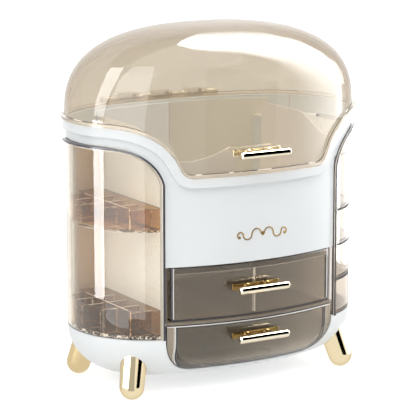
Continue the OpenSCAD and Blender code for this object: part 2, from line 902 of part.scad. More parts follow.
// A bin between two heights: walls, floor, barrel and finger lip
module swing_bin(z0, z1, hinge_top) {
  difference() {
    union() {
      difference() {
        translate([0, 0, z0]) linear_extrude(z1 - z0) bin_plan(0);
        difference() {
          translate([0, 0, z0 + door_t]) linear_extrude(z1 - z0) bin_plan(door_t);
          barrel(z0, hinge_top);
        }
      }
      intersection() {
        side_skin(z0, z1);
        box(bin_x, reach, -reach, reach, 0, top_z);
      }
    }
    barrel_bore();
    translate([pivot_x, pivot_y, hinge_top]) cylinder(r = pivot_in + 2, h = top_z);
  }
}

function bin_z(i) = rim_z + gap + i * bin_h;

module right_bin(i) {
  color(champagne) swing_bin(bin_z(i), bin_z(i + 1) - gap, bin_z(i + 1) - gap);
}

// The top bin's inner walls stop lower than its outer skin
module right_top_bin() {
  inner_top = barrel_top - 20;
  color(champagne) difference() {
    intersection() {
      swing_bin(bin_z(3), opening_top, barrel_top);
      along_y(-reach, reach) side_outline(gap, 0);
    }
    intersection() {
      box(bin_x - 1, pivot_x - barrel_r, -reach, reach, inner_top, top_z);
      slab(-door_t, inner_top, top_z);
    }
  }
}

base_bowl();
cabinet_shell();
partition(-1);  // left_partition
partition(1);  // right_partition
top_floor();
drawer_shelf();
wing_floor(-1);  // left_wing_floor
wing_floor(1);  // right_wing_floor
front_divider();
left_mid_tray();
left_low_tray();
left_mid_cells();
left_low_cells();
hinge_pin(-1);  // left_hinge_pin
hinge_pin(1);  // right_hinge_pin
lid_hinge_brackets();
lid_hinge_pin();
gold_scroll();
foot(-1, -1);  // front_left_foot
foot(1, -1);  // front_right_foot
foot(-1, 1);  // back_left_foot
foot(1, 1);  // back_right_foot
foot_screws();
lid_shell();
lid_knuckles();
handle(lid_handle_z, lid_out);  // lid_handle
handle_plate(lid_handle_z, lid_out);  // lid_handle_plate
handle_screws(lid_handle_z, lid_out, lid_out - lid_wall, lid_rest);  // lid_handle_screws
upper_drawer_tray();
upper_drawer_front();
handle(upper_handle_z, 0);  // upper_handle
handle_plate(upper_handle_z, 0);  // upper_handle_plate
handle_screws(upper_handle_z, 0, tray_skin - tray_wall, fit);  // upper_handle_screws
lower_drawer_tray();
lower_drawer_front();
handle(lower_handle_z, 0);  // lower_handle
handle_plate(lower_handle_z, 0);  // lower_handle_plate
handle_screws(lower_handle_z, 0, tray_skin - tray_wall, lid_rest);  // lower_handle_screws
left_door();
right_top_bin();
right_bin(2);  // right_bin_3
right_bin(1);  // right_bin_2
right_bin(0);  // right_bin_1
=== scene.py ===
import bpy
import numpy as np
from mathutils import Matrix, Vector

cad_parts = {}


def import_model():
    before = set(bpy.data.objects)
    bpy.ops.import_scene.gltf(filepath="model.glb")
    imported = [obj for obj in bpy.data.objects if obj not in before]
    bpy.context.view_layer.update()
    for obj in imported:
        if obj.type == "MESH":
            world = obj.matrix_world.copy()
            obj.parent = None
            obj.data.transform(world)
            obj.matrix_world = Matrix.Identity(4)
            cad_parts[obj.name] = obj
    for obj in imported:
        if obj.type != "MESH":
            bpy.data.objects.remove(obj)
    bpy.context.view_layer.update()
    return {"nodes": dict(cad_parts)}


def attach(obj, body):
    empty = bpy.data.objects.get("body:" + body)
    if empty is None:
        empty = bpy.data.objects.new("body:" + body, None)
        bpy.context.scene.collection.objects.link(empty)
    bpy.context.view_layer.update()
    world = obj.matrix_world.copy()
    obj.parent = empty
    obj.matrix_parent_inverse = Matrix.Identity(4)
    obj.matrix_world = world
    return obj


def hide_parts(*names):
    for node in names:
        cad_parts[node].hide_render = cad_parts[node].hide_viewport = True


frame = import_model()
scene = bpy.context.scene
cadNodes = frame["nodes"]
deg = np.radians

cameraSettings = {
    "place": (-1.1449, -1.9211, 0.6188), "right": (0.8595, -0.5111, 0.0),
    "up": (0.1005, 0.169, 0.9805), "lens": 192.58, "sensor": 36.0,
}
cameraData = bpy.data.cameras.new("camera")
camera = bpy.data.objects.new("camera", cameraData)
scene.collection.objects.link(camera)
right = Vector(cameraSettings["right"]).normalized()
back = right.cross(Vector(cameraSettings["up"])).normalized()
up = back.cross(right)
turn = Matrix((right, up, back)).transposed()
camera.matrix_world = Matrix.Translation(cameraSettings["place"]) @ turn.to_4x4()
cameraData.lens = cameraSettings["lens"]
cameraData.sensor_width = cameraSettings["sensor"]
cameraData.sensor_fit = "HORIZONTAL"
scene.camera = camera
scene.view_settings.view_transform = "Standard"


class Wire:
    # a node's output; sums on it add Math nodes
    def __init__(self, graph, socket):
        self.graph, self.socket = graph, socket

    def math(self, operation, other=0.0, flip=False):
        pair = (other, self) if flip else (self, other)
        return self.graph.node("ShaderNodeMath", {"operation": operation}, {0: pair[0], 1: pair[1]})

    def __add__(self, other): return self.math("ADD", other)
    def __radd__(self, other): return self.math("ADD", other, True)
    def __sub__(self, other): return self.math("SUBTRACT", other)
    def __rsub__(self, other): return self.math("SUBTRACT", other, True)
    def __mul__(self, other): return self.math("MULTIPLY", other)
    def __rmul__(self, other): return self.math("MULTIPLY", other, True)
    def __truediv__(self, other): return self.math("DIVIDE", other)
    def __pow__(self, other): return self.math("POWER", other)
    def __gt__(self, other): return self.math("GREATER_THAN", other)
    def __lt__(self, other): return self.math("LESS_THAN", other)
    def clamp(self): return self.graph.node("ShaderNodeClamp", {}, {0: self})


class Graph:
    # the node tree of a material or a world
    def __init__(self, owner):
        owner.use_nodes = True
        self.owner, self.tree = owner, owner.node_tree
        self.tree.nodes.clear()

    def node(self, kind, settings=None, values=None, out=0):
        made = self.tree.nodes.new(kind)
        for key, value in (settings or {}).items():
            setattr(made, key, value)
        for key, value in (values or {}).items():
            if isinstance(value, Wire):
                self.tree.links.new(value.socket, made.inputs[key])
            else:
                made.inputs[key].default_value = value
        return Wire(self, made.outputs[out])

    def place(self):
        return self.node("ShaderNodeTexCoord", out="Object")

    def along(self, axis):
        # one Object coordinate, in millimetres
        return self.node("ShaderNodeSeparateXYZ", {}, {0: self.place()}, out=axis) * 1000.0

    def noise(self, scale, detail=2.0, distortion=0.0):
        return self.node("ShaderNodeTexNoise", {}, {
            "Vector": self.place(), "Scale": scale, "Detail": detail, "Distortion": distortion})

    def facing(self):
        # 0 where the surface is seen straight on, 1 where it is seen edge on
        return self.node("ShaderNodeLayerWeight", {}, {"Blend": 0.5}, out="Facing")

    def ray(self, name):
        return self.node("ShaderNodeLightPath", out="Is %s Ray" % name)

    def blend(self, factor, first, second):
        return self.node("ShaderNodeMix", {"data_type": "RGBA"}, {0: factor, 6: first, 7: second}, out=2)

    def between(self, factor, first, second):
        return self.node("ShaderNodeMixShader", {}, {0: factor, 1: first, 2: second})

    def principled(self, colour, roughness, **more):
        values = {key.replace("_", " "): value for key, value in more.items()}
        return self.node("ShaderNodeBsdfPrincipled", {}, {
            "Base Color": colour, "Roughness": roughness, **values})

    def glow(self, strength):
        return self.node("ShaderNodeEmission", {}, {"Color": (1, 1, 1, 1), "Strength": strength})

    def clear(self, tint=(1.0, 1.0, 1.0)):
        return self.node("ShaderNodeBsdfTransparent", {}, {"Color": (*tint, 1.0)})

    def surface(self, shader, kind="ShaderNodeOutputMaterial"):
        made = self.tree.nodes.new(kind)
        self.tree.links.new(shader.socket, made.inputs["Surface"])
        return self.owner


def graph(name):
    return Graph(bpy.data.materials.new(name))


def rgb(bytesOfColour, share=1.0):
    # sRGB bytes to linear colour, then darkened to a share of it
    c = np.array(bytesOfColour) / 255.0
    lin = np.where(c <= 0.04045, c / 12.92, ((c + 0.055) / 1.055) ** 2.4) * share
    return (*[float(v) for v in lin], 1.0)


def softEdge(g, radius, height, strength):
    # normal that rounds what is seen of an edge and carries a fine grain
    edge = g.node("ShaderNodeBevel", {"samples": 4}, {"Radius": radius})
    return g.node("ShaderNodeBump", {}, {
        "Strength": strength, "Distance": 0.0002, "Height": height, "Normal": edge})


paintSettings = {"cloud": 14.0, "grain": 420.0, "round": 0.0006,
                 "bulkheads": (54.3, 54.7), "recessShadeBounds": (-76.5, 134.0)}


def paintedPlastic(name, colour, shade, roughness, specular=0.5, lining=None, recessShade=None):
    # lining is the colour of the two bulkheads' front faces, between two depths; the recess colour
    # is painted shade on the edges beside the upper drawer, in front of a depth and below a height
    s = paintSettings
    g = graph(name)
    fine = g.noise(s["grain"])
    paint = g.blend(g.noise(s["cloud"], 3.0), rgb(colour), rgb(shade))
    # painted shade: the recess beside the upper drawer is darkened
    if recessShade:
        paint = g.blend((g.along(1) < s["recessShadeBounds"][0]) * (g.along(2) < s["recessShadeBounds"][1]), paint, rgb(recessShade))
    if lining:
        y = g.along(1)
        paint = g.blend((y > s["bulkheads"][0]) * (y < s["bulkheads"][1]), paint, rgb(lining))
    return g.surface(g.principled(paint, roughness + 0.08 * fine, Specular_IOR_Level=specular,
                                  Normal=softEdge(g, s["round"], fine, 0.05)))


metalSettings = {"cloud": 90.0, "grain": 900.0, "round": 0.0004, "platedRound": 0.0003}


def metal(name, colour, shade, roughness):
    s = metalSettings
    g = graph(name)
    cloud = g.noise(s["cloud"], 3.0)
    return g.surface(g.principled(g.blend(cloud, rgb(colour), rgb(shade)), roughness + 0.04 * cloud, Metallic=1.0,
                                  Normal=softEdge(g, s["round"], g.noise(s["grain"]), 0.04)))


def plating(name, middle, rim, roughness):
    # metal that is paler where it is seen straight on, with the rim colour as painted shade toward its outline
    s = metalSettings
    g = graph(name)
    cloud = g.noise(s["cloud"], 3.0)
    shade = g.blend(cloud, rgb(middle), rgb(middle, 0.97))
    return g.surface(g.principled(g.blend(g.facing() ** 2.2, shade, rgb(rim)), roughness + 0.03 * cloud,
                                  Metallic=1.0, Normal=softEdge(g, s["platedRound"], g.noise(s["grain"]), 0.03)))


sheetSettings = {"wave": 260.0, "milkCloud": 20.0, "mirror": 0.95, "rimFrom": 0.45, "rimRise": 5.0}


def clearSheet(g, tint, deepTint, milk, cloudiness, roughness=0.02, index=1.45, rim=None):
    # clear sheet that bends what shows through it, tinted more where it is seen edge on;
    # shadow and diffuse rays pass straight through, so that light reaches what lies behind
    s = sheetSettings
    facing = g.facing()
    fine = g.noise(s["wave"])
    bent = [g.node("ShaderNodeBsdfRefraction", {}, {"Color": (*colour, 1.0), "IOR": index, "Roughness": 0.0})
            for colour in (tint, deepTint)]
    milky = g.principled(g.blend(g.noise(s["milkCloud"]), rgb(milk), rgb(milk, 0.92)), 0.4)
    mist = g.between(cloudiness, g.between(facing ** 3.0, *bent), milky)
    wave = g.node("ShaderNodeBump", {}, {"Strength": 0.004, "Distance": 0.0001, "Height": fine})
    gloss = g.principled((s["mirror"], s["mirror"], s["mirror"], 1.0), roughness + 0.02 * fine, Metallic=1.0,
                         Normal=wave)
    if rim:
        # near its outline the sheet turns milky instead of mirror-bright
        edge = g.principled(g.blend(g.noise(s["milkCloud"]), rgb(rim), rgb(rim, 0.96)), 0.5,
                            Specular_IOR_Level=0.0)
        gloss = g.between(((facing - s["rimFrom"]) * s["rimRise"]).clamp(), gloss, edge)
    shine = g.node("ShaderNodeFresnel", {}, {"IOR": index})
    straight = g.clear([0.5 + 0.5 * v for v in tint])
    passing = g.ray("Shadow").math("MAXIMUM", g.ray("Diffuse"))
    return g.between(passing, g.between(shine, mist, gloss), straight)


def clearPlastic(name, *sheet):
    g = graph(name)
    return g.surface(clearSheet(g, *sheet))


def outlinedPlastic(name, sheets, rings, halfWidth, lowZ, corner, band=None, crest=None):
    # clear front, from the first sheet on the left to the second on the right, with rings
    # that follow a U-shaped outline, straight above and rounded below; distance to the
    # outline = length of (|x| - halfWidth + corner, lowZ + corner - z), each at least 0,
    # minus corner, in millimetres
    g = graph(name)
    x, z = g.along(0), g.along(2)
    across = (x.math("ABSOLUTE") - (halfWidth - corner)).math("MAXIMUM", 0.0)
    down = ((lowZ + corner) - z).math("MAXIMUM", 0.0)
    away = (across * across + down * down) ** 0.5 - corner
    # painted light: the front turns lighter toward its right
    toRight = ((x + 50.0) / 110.0).clamp()  # from 50 mm left of the middle to 60 mm right of it
    shader = g.between(toRight, *[clearSheet(g, *sheet) for sheet in sheets])
    if band:
        shader = g.between(away > 0.0, shader, clearSheet(g, *band))
    # the rings are painted: dark lines for the edges' dark refraction, pale ones for highlights
    for start, stop, side, look in rings:
        mask = (away > start) * (away < stop)
        if side == "left":
            mask = mask * (x < 0.0)
        if side == "sides":
            mask = mask * (down < 0.5)
        shader = g.between(mask, shader, clearSheet(g, *look))
    if crest:
        shader = g.between((z > crest[0]) * (z < crest[1]), shader, clearSheet(g, *crest[2]))
    return g.surface(shader)


def hingePlastic(name, tint, milk):
    # thin clear wall round a pin, faintly milky and without bending
    g = graph(name)
    cloud = 0.2 + 0.1 * g.noise(60.0)
    return g.surface(g.between(cloud, g.clear(tint), g.principled(rgb(milk), cloud)))


# colours, scale and band of the painted glints
glintSettings = {"pale": (255, 250, 240), "dark": (52, 42, 36), "footScale": 290.0, "footBand": (60.9, 64.6)}


def glintNoise(g, scale):
    return g.noise(scale, 3.0, 0.6)


def sparkle(name, tint, body, scale, darkest, bright, clear):
    # cut edge of clear plastic: painted glints, dark and bright specks over the tinted sheet
    g = graph(name)
    glintField = glintNoise(g, scale)
    sheet = g.between(1.0 - clear, g.clear(tint), g.principled(rgb(body), 0.2))
    light = g.between(glintField < bright, sheet, g.principled(rgb(glintSettings["pale"]), 0.1))
    return g.surface(g.between(glintField > 0.56, light, g.principled(rgb(darkest), 0.1)))


def glintBandSheet(name, sheet):
    # clear sheet with painted glints, dark and bright specks in a band along its foot
    s = glintSettings
    g = graph(name)
    z, glintField = g.along(2), glintNoise(g, s["footScale"])
    inBand = (z > s["footBand"][0]) * (z < s["footBand"][1])
    light = g.between(inBand * (glintField < 0.44), clearSheet(g, *sheet), g.principled(rgb(s["pale"]), 0.1))
    return g.surface(g.between(inBand * (glintField > 0.55), light, g.principled(rgb(s["dark"]), 0.1)))


# where the painted highlights lie on the drawer trays
trayHighlights = {"dividerX": -4.0, "dividerHalf": 0.9, "dividerY": -88.0, "dividerZ": 82.0,
             "footX": 87.4, "footZ": (78.0, 80.9), "rimZ": 126.2, "rimHighlightShare": 0.5}


def highlightedTray(name, sheet, line):
    # clear drawer tray with painted highlights: light lines on the divider's front end, along the right foot and
    # round the rim
    s = trayHighlights
    g = graph(name)
    x, y, z = [g.along(axis) for axis in range(3)]
    divider = ((x - s["dividerX"]).math("ABSOLUTE") < s["dividerHalf"]) * (y < s["dividerY"]) * (z > s["dividerZ"])
    foot = (x > s["footX"]) * (z > s["footZ"][0]) * (z < s["footZ"][1])
    mask = divider.math("MAXIMUM", foot).math("MAXIMUM", (z > s["rimZ"]) * s["rimHighlightShare"])
    return g.surface(g.between(mask, clearSheet(g, *sheet), clearSheet(g, *line)))


whiteShell = paintedPlastic("white_shell", (232, 235, 235), (228, 231, 232), 0.26, 0.25, lining=(205, 178, 150))
# its recess colour is painted shade beside the upper drawer
whiteLiner = paintedPlastic("white_liner", (247, 242, 233), (244, 238, 227), 0.24, recessShade=(112, 98, 86))
whiteBowl = paintedPlastic("white_bowl", (242, 245, 245), (238, 241, 242), 0.26, 0.25)
whitePanel = paintedPlastic("white_panel", (240, 241, 244), (236, 238, 241), 0.3)
# painted light: a brighter copy of the liner's white for the front divider and the right partition
paintedLitDivider = paintedPlastic("white_divider_painted_lit", (255, 250, 246), (252, 246, 240), 0.3)
hingeWhite = paintedPlastic("hinge_white", (240, 236, 230), (234, 229, 222), 0.3)
# painted shade: the dark seams between the stacked clear bins
seamShade = paintedPlastic("seam_painted_shade", (104, 103, 106), (88, 88, 94), 0.5, 0.1)

goldPolished = plating("gold_polished", (247, 230, 190), (190, 152, 92), 0.07)
goldBar = plating("gold_bar", (250, 241, 218), (186, 138, 72), 0.05)
goldCream = metal("gold_cream", (240, 226, 194), (230, 212, 174), 0.25)
goldBronze = metal("gold_bronze", (150, 124, 78), (132, 108, 64), 0.25)
goldDeep = metal("gold_deep", (184, 152, 92), (166, 134, 76), 0.3)
goldSatin = metal("gold_satin", (228, 206, 160), (222, 198, 150), 0.3)
steel = metal("steel", (205, 205, 208), (190, 190, 195), 0.22)

# each sheet has its tint, its tint where it is seen edge on, its milk, how cloudy it is,
# and where they differ from the others its roughness, its index and the milk of its rim
clearLid = clearPlastic("clear_champagne", (0.856, 0.827, 0.776), (0.72, 0.60, 0.47), (225, 208, 184), 0.02,
                        0.02, 1.45, (243, 239, 235))
clearLip = clearPlastic("clear_champagne_lip", (0.93, 0.89, 0.83), (0.72, 0.62, 0.50), (242, 230, 212), 0.35)
clearDoor = clearPlastic("clear_champagne_door", (0.993, 0.98, 0.948), (0.82, 0.72, 0.60), (228, 212, 190), 0.02)
clearRail = clearPlastic("clear_champagne_rail", (0.95, 0.92, 0.87), (0.66, 0.56, 0.46), (228, 212, 190), 0.05)
clearBin = clearPlastic("clear_champagne_bin", (0.915, 0.887, 0.852), (0.70, 0.62, 0.53), (236, 226, 212), 0.04)
paleRail = clearPlastic("pale_rail", (0.97, 0.94, 0.89), (0.86, 0.78, 0.68), (246, 236, 218), 0.6)
# painted dark refraction and shade: navy on the door's narrow edges and the rails' dark sides
doorEdge = clearPlastic("clear_champagne_edge", (0.20, 0.20, 0.24), (0.10, 0.10, 0.14), (42, 44, 60), 0.8)
hingeClear = hingePlastic("hinge_clear", (0.97, 0.96, 0.94), (240, 232, 218))
# painted shade in the crease where the dome meets its lip, with painted glints
rimCreaseShade = sparkle("rim_crease_shade", (0.36, 0.33, 0.31), (84, 77, 72), 70.0, (44, 42, 46), 0.40, 0.4)

# the right-hand sheet of each front is paler: painted light
upperSheets = (((0.90, 0.86, 0.80), (0.55, 0.49, 0.43), (150, 138, 122), 0.06),
               ((0.935, 0.895, 0.84), (0.62, 0.56, 0.49), (166, 153, 136), 0.08))
lowerSheets = (((0.85, 0.82, 0.765), (0.55, 0.49, 0.43), (140, 130, 116), 0.05),
               ((0.975, 0.935, 0.87), (0.66, 0.60, 0.52), (176, 162, 144), 0.10))
# painted dark refraction line along the outline, then a painted highlight beside it
smokeDark = ((0.20, 0.19, 0.22), (0.08, 0.08, 0.11), (44, 46, 60), 0.7)
smokeHighlight = ((0.95, 0.94, 0.92), (0.80, 0.78, 0.74), (250, 248, 244), 0.8)
smokeBand = ((0.90, 0.86, 0.80), (0.66, 0.60, 0.53), (216, 202, 180), 0.30)
smokeEdge = clearPlastic("smoke_edge", (0.20, 0.19, 0.20), (0.08, 0.08, 0.10), (52, 50, 56), 0.5)
shelfSmoke = clearPlastic("smoke_shelf", (0.90, 0.86, 0.80), (0.75, 0.68, 0.60), (196, 180, 158), 0.45)
smokeTray = highlightedTray("smoke_tray", ((0.96, 0.94, 0.91), (0.80, 0.76, 0.70), (160, 148, 134), 0.02), smokeHighlight)
# after its rings, each front gives its outline's half width, lowest height and corner
upperSmoke = outlinedPlastic("smoke_upper", upperSheets, [
    (-1.3, 1.0, "all", smokeDark), (-2.2, -1.3, "sides", smokeHighlight)], 92.0, 79.3, 3.0)
# the lower front's crest is a painted highlight line near its top
lowerSmoke = outlinedPlastic("smoke_lower", lowerSheets, [
    (-0.4, 0.9, "all", smokeDark), (0.9, 1.9, "left", smokeHighlight)], 87.0, 27.2, 20.0, smokeBand,
    (73.6, 74.7, smokeHighlight))

amberDeepSheet = ((0.84, 0.735, 0.61), (0.62, 0.49, 0.36), (150, 126, 100), 0.04, 0.04, 1.12)
amberDeep = clearPlastic("amber_deep", *amberDeepSheet)
amberFootGlints = glintBandSheet("amber_foot_glints", amberDeepSheet)
amberClear = clearPlastic("amber_clear", (0.91, 0.80, 0.655), (0.70, 0.54, 0.38), (190, 156, 118), 0.04, 0.04, 1.12)
amberEdge = clearPlastic("amber_edge", (0.72, 0.60, 0.47), (0.50, 0.38, 0.27), (124, 100, 78), 0.5)
# painted highlight lines on the cells' top and bottom edges
amberHighlight = clearPlastic("amber_painted_highlight", (0.95, 0.90, 0.84), (0.80, 0.70, 0.58), (240, 222, 198), 0.85, 0.1, 1.1)
amberFloor = clearPlastic("amber_floor", (0.44, 0.37, 0.30), (0.34, 0.27, 0.21), (92, 76, 58), 0.5, 0.1, 1.1)
# painted glints for the trays' feet and the cells' upright edges
amberSparkle = sparkle("amber_sparkle", (0.90, 0.80, 0.68), (205, 172, 135), 210.0, (40, 32, 28), 0.46, 0.35)

# the CAD nodes that are shown as they are
nodeLooks = [
    (whiteShell, "cabinet_shell"), (whiteBowl, "base_bowl"), (paintedLitDivider, "right_partition front_divider"),
    (whiteLiner, "left_partition top_floor left_wing_floor right_wing_floor lid_hinge_brackets"),
    (shelfSmoke, "drawer_shelf"), (smokeTray, "upper_drawer_tray lower_drawer_tray"), (goldDeep, "gold_scroll"),
    (hingeWhite, "left_hinge_pin right_hinge_pin lid_hinge_pin"), (hingeClear, "lid_knuckles"),
    (steel, "foot_screws lid_handle_screws upper_handle_screws lower_handle_screws"),
]
for look, nodes in nodeLooks:
    for node in nodes.split():
        cadNodes[node].data.materials.clear()
        cadNodes[node].data.materials.append(look)
print("materials on the CAD nodes")


# plan and profile of the case, in millimetres
halfD, endX, endR, faceR, faceY = 95.0, 72.0, 83.0, 305.0, 210.0
joinA = np.arctan2(endX, faceY)
seam = {"z": 271.0, "dip": 221.0, "flat": 71.0, "cornerR": 14.0, "shoulderR": 65.0, "slope": deg(65.0)}
climb = {"from": 66.0, "to": 135.0, "closer": 2.4}
bowl = {"top": 61.0, "ballR": 45.0, "ringR": 38.0, "broadR": 260.0, "floor": 16.0}
cornerZ = seam["dip"] + seam["cornerR"]
centreZ = seam["z"] - seam["shoulderR"]
cornerX = seam["flat"] + seam["cornerR"] * np.sin(seam["slope"])
cornerEndZ = cornerZ - seam["cornerR"] * np.cos(seam["slope"])
slopeEndZ = centreZ + seam["shoulderR"] * np.cos(seam["slope"])
slopeEndX = cornerX + (slopeEndZ - cornerEndZ) / np.tan(seam["slope"])
shoulderX = slopeEndX + seam["shoulderR"] * np.sin(seam["slope"])


def oval(angle, d=0.0):
    # plan point whose outward normal has this angle, on the oval grown by d
    c, s = np.cos(angle), np.sin(angle)
    onEnd = np.abs(s) < np.cos(joinA)
    r = np.where(onEnd, endR, faceR) + d
    x = np.where(onEnd, np.sign(c) * endX, 0.0) + r * c
    y = np.where(onEnd, 0.0, -np.sign(s) * faceY) + r * s
    return x, y


def frontY(x, d=0.0):
    # y of the front wall at x, on the oval grown by d
    u = np.abs(x)
    join = (faceR + d) * np.sin(joinA)
    broad = faceY - np.sqrt(np.maximum((faceR + d) ** 2 - u ** 2, 0))
    tight = -np.sqrt(np.maximum((endR + d) ** 2 - (u - endX) ** 2, 0))
    return np.where(u <= join, broad, tight)


def seamZ(x, y):
    # height of the parting line: level at the dip, a small arc, a slope, a large arc, level
    u = np.abs(x)
    z = np.where(u <= seam["flat"], seam["dip"], seam["z"])
    k = (u > seam["flat"]) & (u <= cornerX)
    z = np.where(k, cornerZ - np.sqrt(np.maximum(seam["cornerR"] ** 2 - (u - seam["flat"]) ** 2, 0)), z)
    k = (u > cornerX) & (u <= slopeEndX)
    z = np.where(k, cornerEndZ + (u - cornerX) * np.tan(seam["slope"]), z)
    k = (u > slopeEndX) & (u < shoulderX)
    z = np.where(k, centreZ + np.sqrt(np.maximum(seam["shoulderR"] ** 2 - (shoulderX - u) ** 2, 0)), z)
    return np.where(y < 0, z, seam["z"])


def spread(points, density, count):
    # count values with spacing that follows the density
    total = np.concatenate([[0], np.cumsum((density[1:] + density[:-1]) / 2 * np.diff(points))])
    return np.interp(np.linspace(0, total[-1], count, endpoint=False), total, points)


def ovalAngles(count):
    # normal angles at even steps along the oval, closer where the parting line climbs
    a = np.linspace(-np.pi / 2, 1.5 * np.pi, 20001)
    x, y = oval(a)
    step = np.where(np.abs(np.sin(a)) < np.cos(joinA), endR, faceR)
    steep = (y < 0) & (np.abs(x) > climb["from"]) & (np.abs(x) < climb["to"])
    return spread(a, step * np.where(steep, climb["closer"], 1.0), count)


def makePiece(name, points, faces, looks, body, nodes=(), pick=None):
    # points in millimetres; pick gives each face the number of its look, as a list or as a
    # function of the faces' normals, middles and areas
    mesh = bpy.data.meshes.new(name)
    mesh.from_pydata((np.asarray(points, float) * 0.001).tolist(), [], faces)
    mesh.validate()
    for look in looks:
        mesh.materials.append(look)
    if callable(pick):
        count = len(mesh.polygons)
        normals, middles, areas = np.zeros(count * 3), np.zeros(count * 3), np.zeros(count)
        mesh.polygons.foreach_get("normal", normals)
        mesh.polygons.foreach_get("center", middles)
        mesh.polygons.foreach_get("area", areas)
        pick = pick(normals.reshape(-1, 3), middles.reshape(-1, 3) * 1000, areas * 1e6)
    if pick is not None:
        mesh.polygons.foreach_set("material_index", np.asarray(pick, np.int32))
    mesh.polygons.foreach_set("use_smooth", np.ones(len(mesh.polygons), bool))
    mesh.set_sharp_from_angle(angle=deg(35.0))
    piece = bpy.data.objects.new(name, mesh)
    scene.collection.objects.link(piece)
    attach(piece, body)
    if nodes:
        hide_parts(*nodes)


def outward(points, faces):
    # turns every face round when the closed surface's volume comes out negative
    volume = 0.0
    for size in {len(f) for f in faces}:
        group = points[np.array([f for f in faces if len(f) == size])]
        for k in range(1, size - 1):
            volume += np.einsum("ij,ij->", group[:, 0], np.cross(group[:, k], group[:, k + 1]))
    return faces if volume > 0 else [f[::-1] for f in faces]


def loft(sections):
    # closed surface: quads between rows of closed profiles (rows, profile points, 3), and two caps
    rows, size = sections.shape[:2]
    k = np.arange(size)
    a = np.arange(rows - 1)[:, None] * size + k[None]
    b = a + size
    faces = np.stack([a, np.roll(a, -1, 1), np.roll(b, -1, 1), b], -1).reshape(-1, 4).tolist()
    faces += [k[::-1].tolist(), (k + (rows - 1) * size).tolist()]
    points = sections.reshape(-1, 3)
    return points, outward(points, faces)


def join(*parts):
    # several (points, faces) as one
    points, faces, count = [], [], 0
    for p, f in parts:
        points.append(p)
        faces += [[i + count for i in face] for face in f]
        count += len(p)
    return np.concatenate(points), faces


lidSettings = {"columns": 460, "rings": 44, "between": 3, "out": 1.0, "wall": 2.2, "lip": 5.0, "lipH": 3.6,
               "gap": 0.4, "top": 362.0, "power": 2.6, "round": 0.7, "rise": 0.5, "reach": 115.0}


def domeRings(d, top, count, angles):
    # superellipse: z rises with sin^(2/p), the plan shrinks with cos^(2/p)
    s = lidSettings
    base = seam["z"] + s["gap"] + s["lipH"] + s["rise"]
    a = np.linspace(0, np.pi / 2, 4001)
    k, h = np.cos(a) ** (2 / s["power"]), np.sin(a) ** (2 / s["power"])
    run = np.concatenate([[0], np.cumsum(np.hypot(np.diff(k) * s["reach"], np.diff(h) * (top - base)))])
    pick = np.interp(np.linspace(0, run[-1], count + 1)[:-1], run, a)
    k, h = np.cos(pick) ** (2 / s["power"]), np.sin(pick) ** (2 / s["power"])
    x, y = oval(angles, d)
    return np.stack([x[None] * k[:, None], y[None] * k[:, None],
                     np.broadcast_to((base + (top - base) * h)[:, None], (count, len(angles)))], -1)


def buildLid():
    # closed rings from the lip's underside over the outside, and back down the inside;
    # split is the first ring of the inside
    s = lidSettings
    a = ovalAngles(s["columns"])
    e = s["round"]

    def lipRing(d, h):
        x, y = oval(a, d)
        return np.stack([x, y, seamZ(x, y) + s["gap"] + h], -1)

    inner = s["out"] - s["wall"]
    lip = [(inner + 0.3, 0), (s["lip"] - e, 0), (s["lip"] - 0.3 * e, 0.3 * e), (s["lip"], e),
           (s["lip"], s["lipH"] - e), (s["lip"] - 0.3 * e, s["lipH"] - 0.3 * e), (s["lip"] - e, s["lipH"]),
           (s["out"] + 0.6, s["lipH"]), (s["out"] + 0.15, s["lipH"] + 0.15), (s["out"], s["lipH"] + 0.6)]
    rings = [lipRing(d, h) for d, h in lip]
    outer = domeRings(s["out"], s["top"], s["rings"], a)
    inside = domeRings(inner, s["top"] - s["wall"], s["rings"], a)

    def wallRings(bottom, top):
        t = np.linspace(0, 1, s["between"] + 2)[1:-1, None, None]
        return list(bottom[None] * (1 - t) + top[None] * t)

    rings[-1][:, 2] = np.minimum(rings[-1][:, 2], outer[0][:, 2] - 0.01)
    rings += wallRings(rings[-1], outer[0]) + list(outer)
    split = len(rings)
    bottomIn = lipRing(inner, 0.3)
    rings += list(inside[::-1]) + wallRings(inside[0], bottomIn) + [bottomIn]
    return np.array(rings), split


def lidMesh():
    rings, split = buildLid()
    count, n = rings.shape[:2]
    points = rings.reshape(-1, 3)
    faces, pick = [], []
    i = np.arange(n)
    j = (i + 1) % n
    for row in range(count):
        if row == split - 1:
            continue  # the two crowns are closed below
        after = (row + 1) % count
        faces += np.stack([row * n + i, row * n + j, after * n + j, after * n + i], -1).tolist()
        # the lip, then painted shade with painted glints where the dome rises from it, then the dome
        pick += [2 if row in (7, 8) else 1 if row < 7 or row == count - 1 else 0] * n
    top = len(points)
    points = np.concatenate([points, [[0, 0, lidSettings["top"]],
                                      [0, 0, lidSettings["top"] - lidSettings["wall"]]]])
    outer, inner = (split - 1) * n, split * n
    faces += np.stack([outer + i, outer + j, np.full(n, top)], -1).tolist()
    faces += np.stack([inner + j, inner + i, np.full(n, top + 1)], -1).tolist()
    pick += [0] * (2 * n)
    return points, outward(points, faces), pick


points, faces, pick = lidMesh()
makePiece("lid_dome", points, faces, [clearLid, clearLip, rimCreaseShade], "lid", ["lid_shell"], pick)
print("lid", len(faces), "faces")

# left and right: first x, last x and thickness
linerSettings = {"inner": -3.0, "left": (-90.0, 3.0, 2.0), "right": (3.8, 112.0, 1.0), "top": 268.0,
                 "columns": 40, "bevel": 0.3, "skin": 0.1}


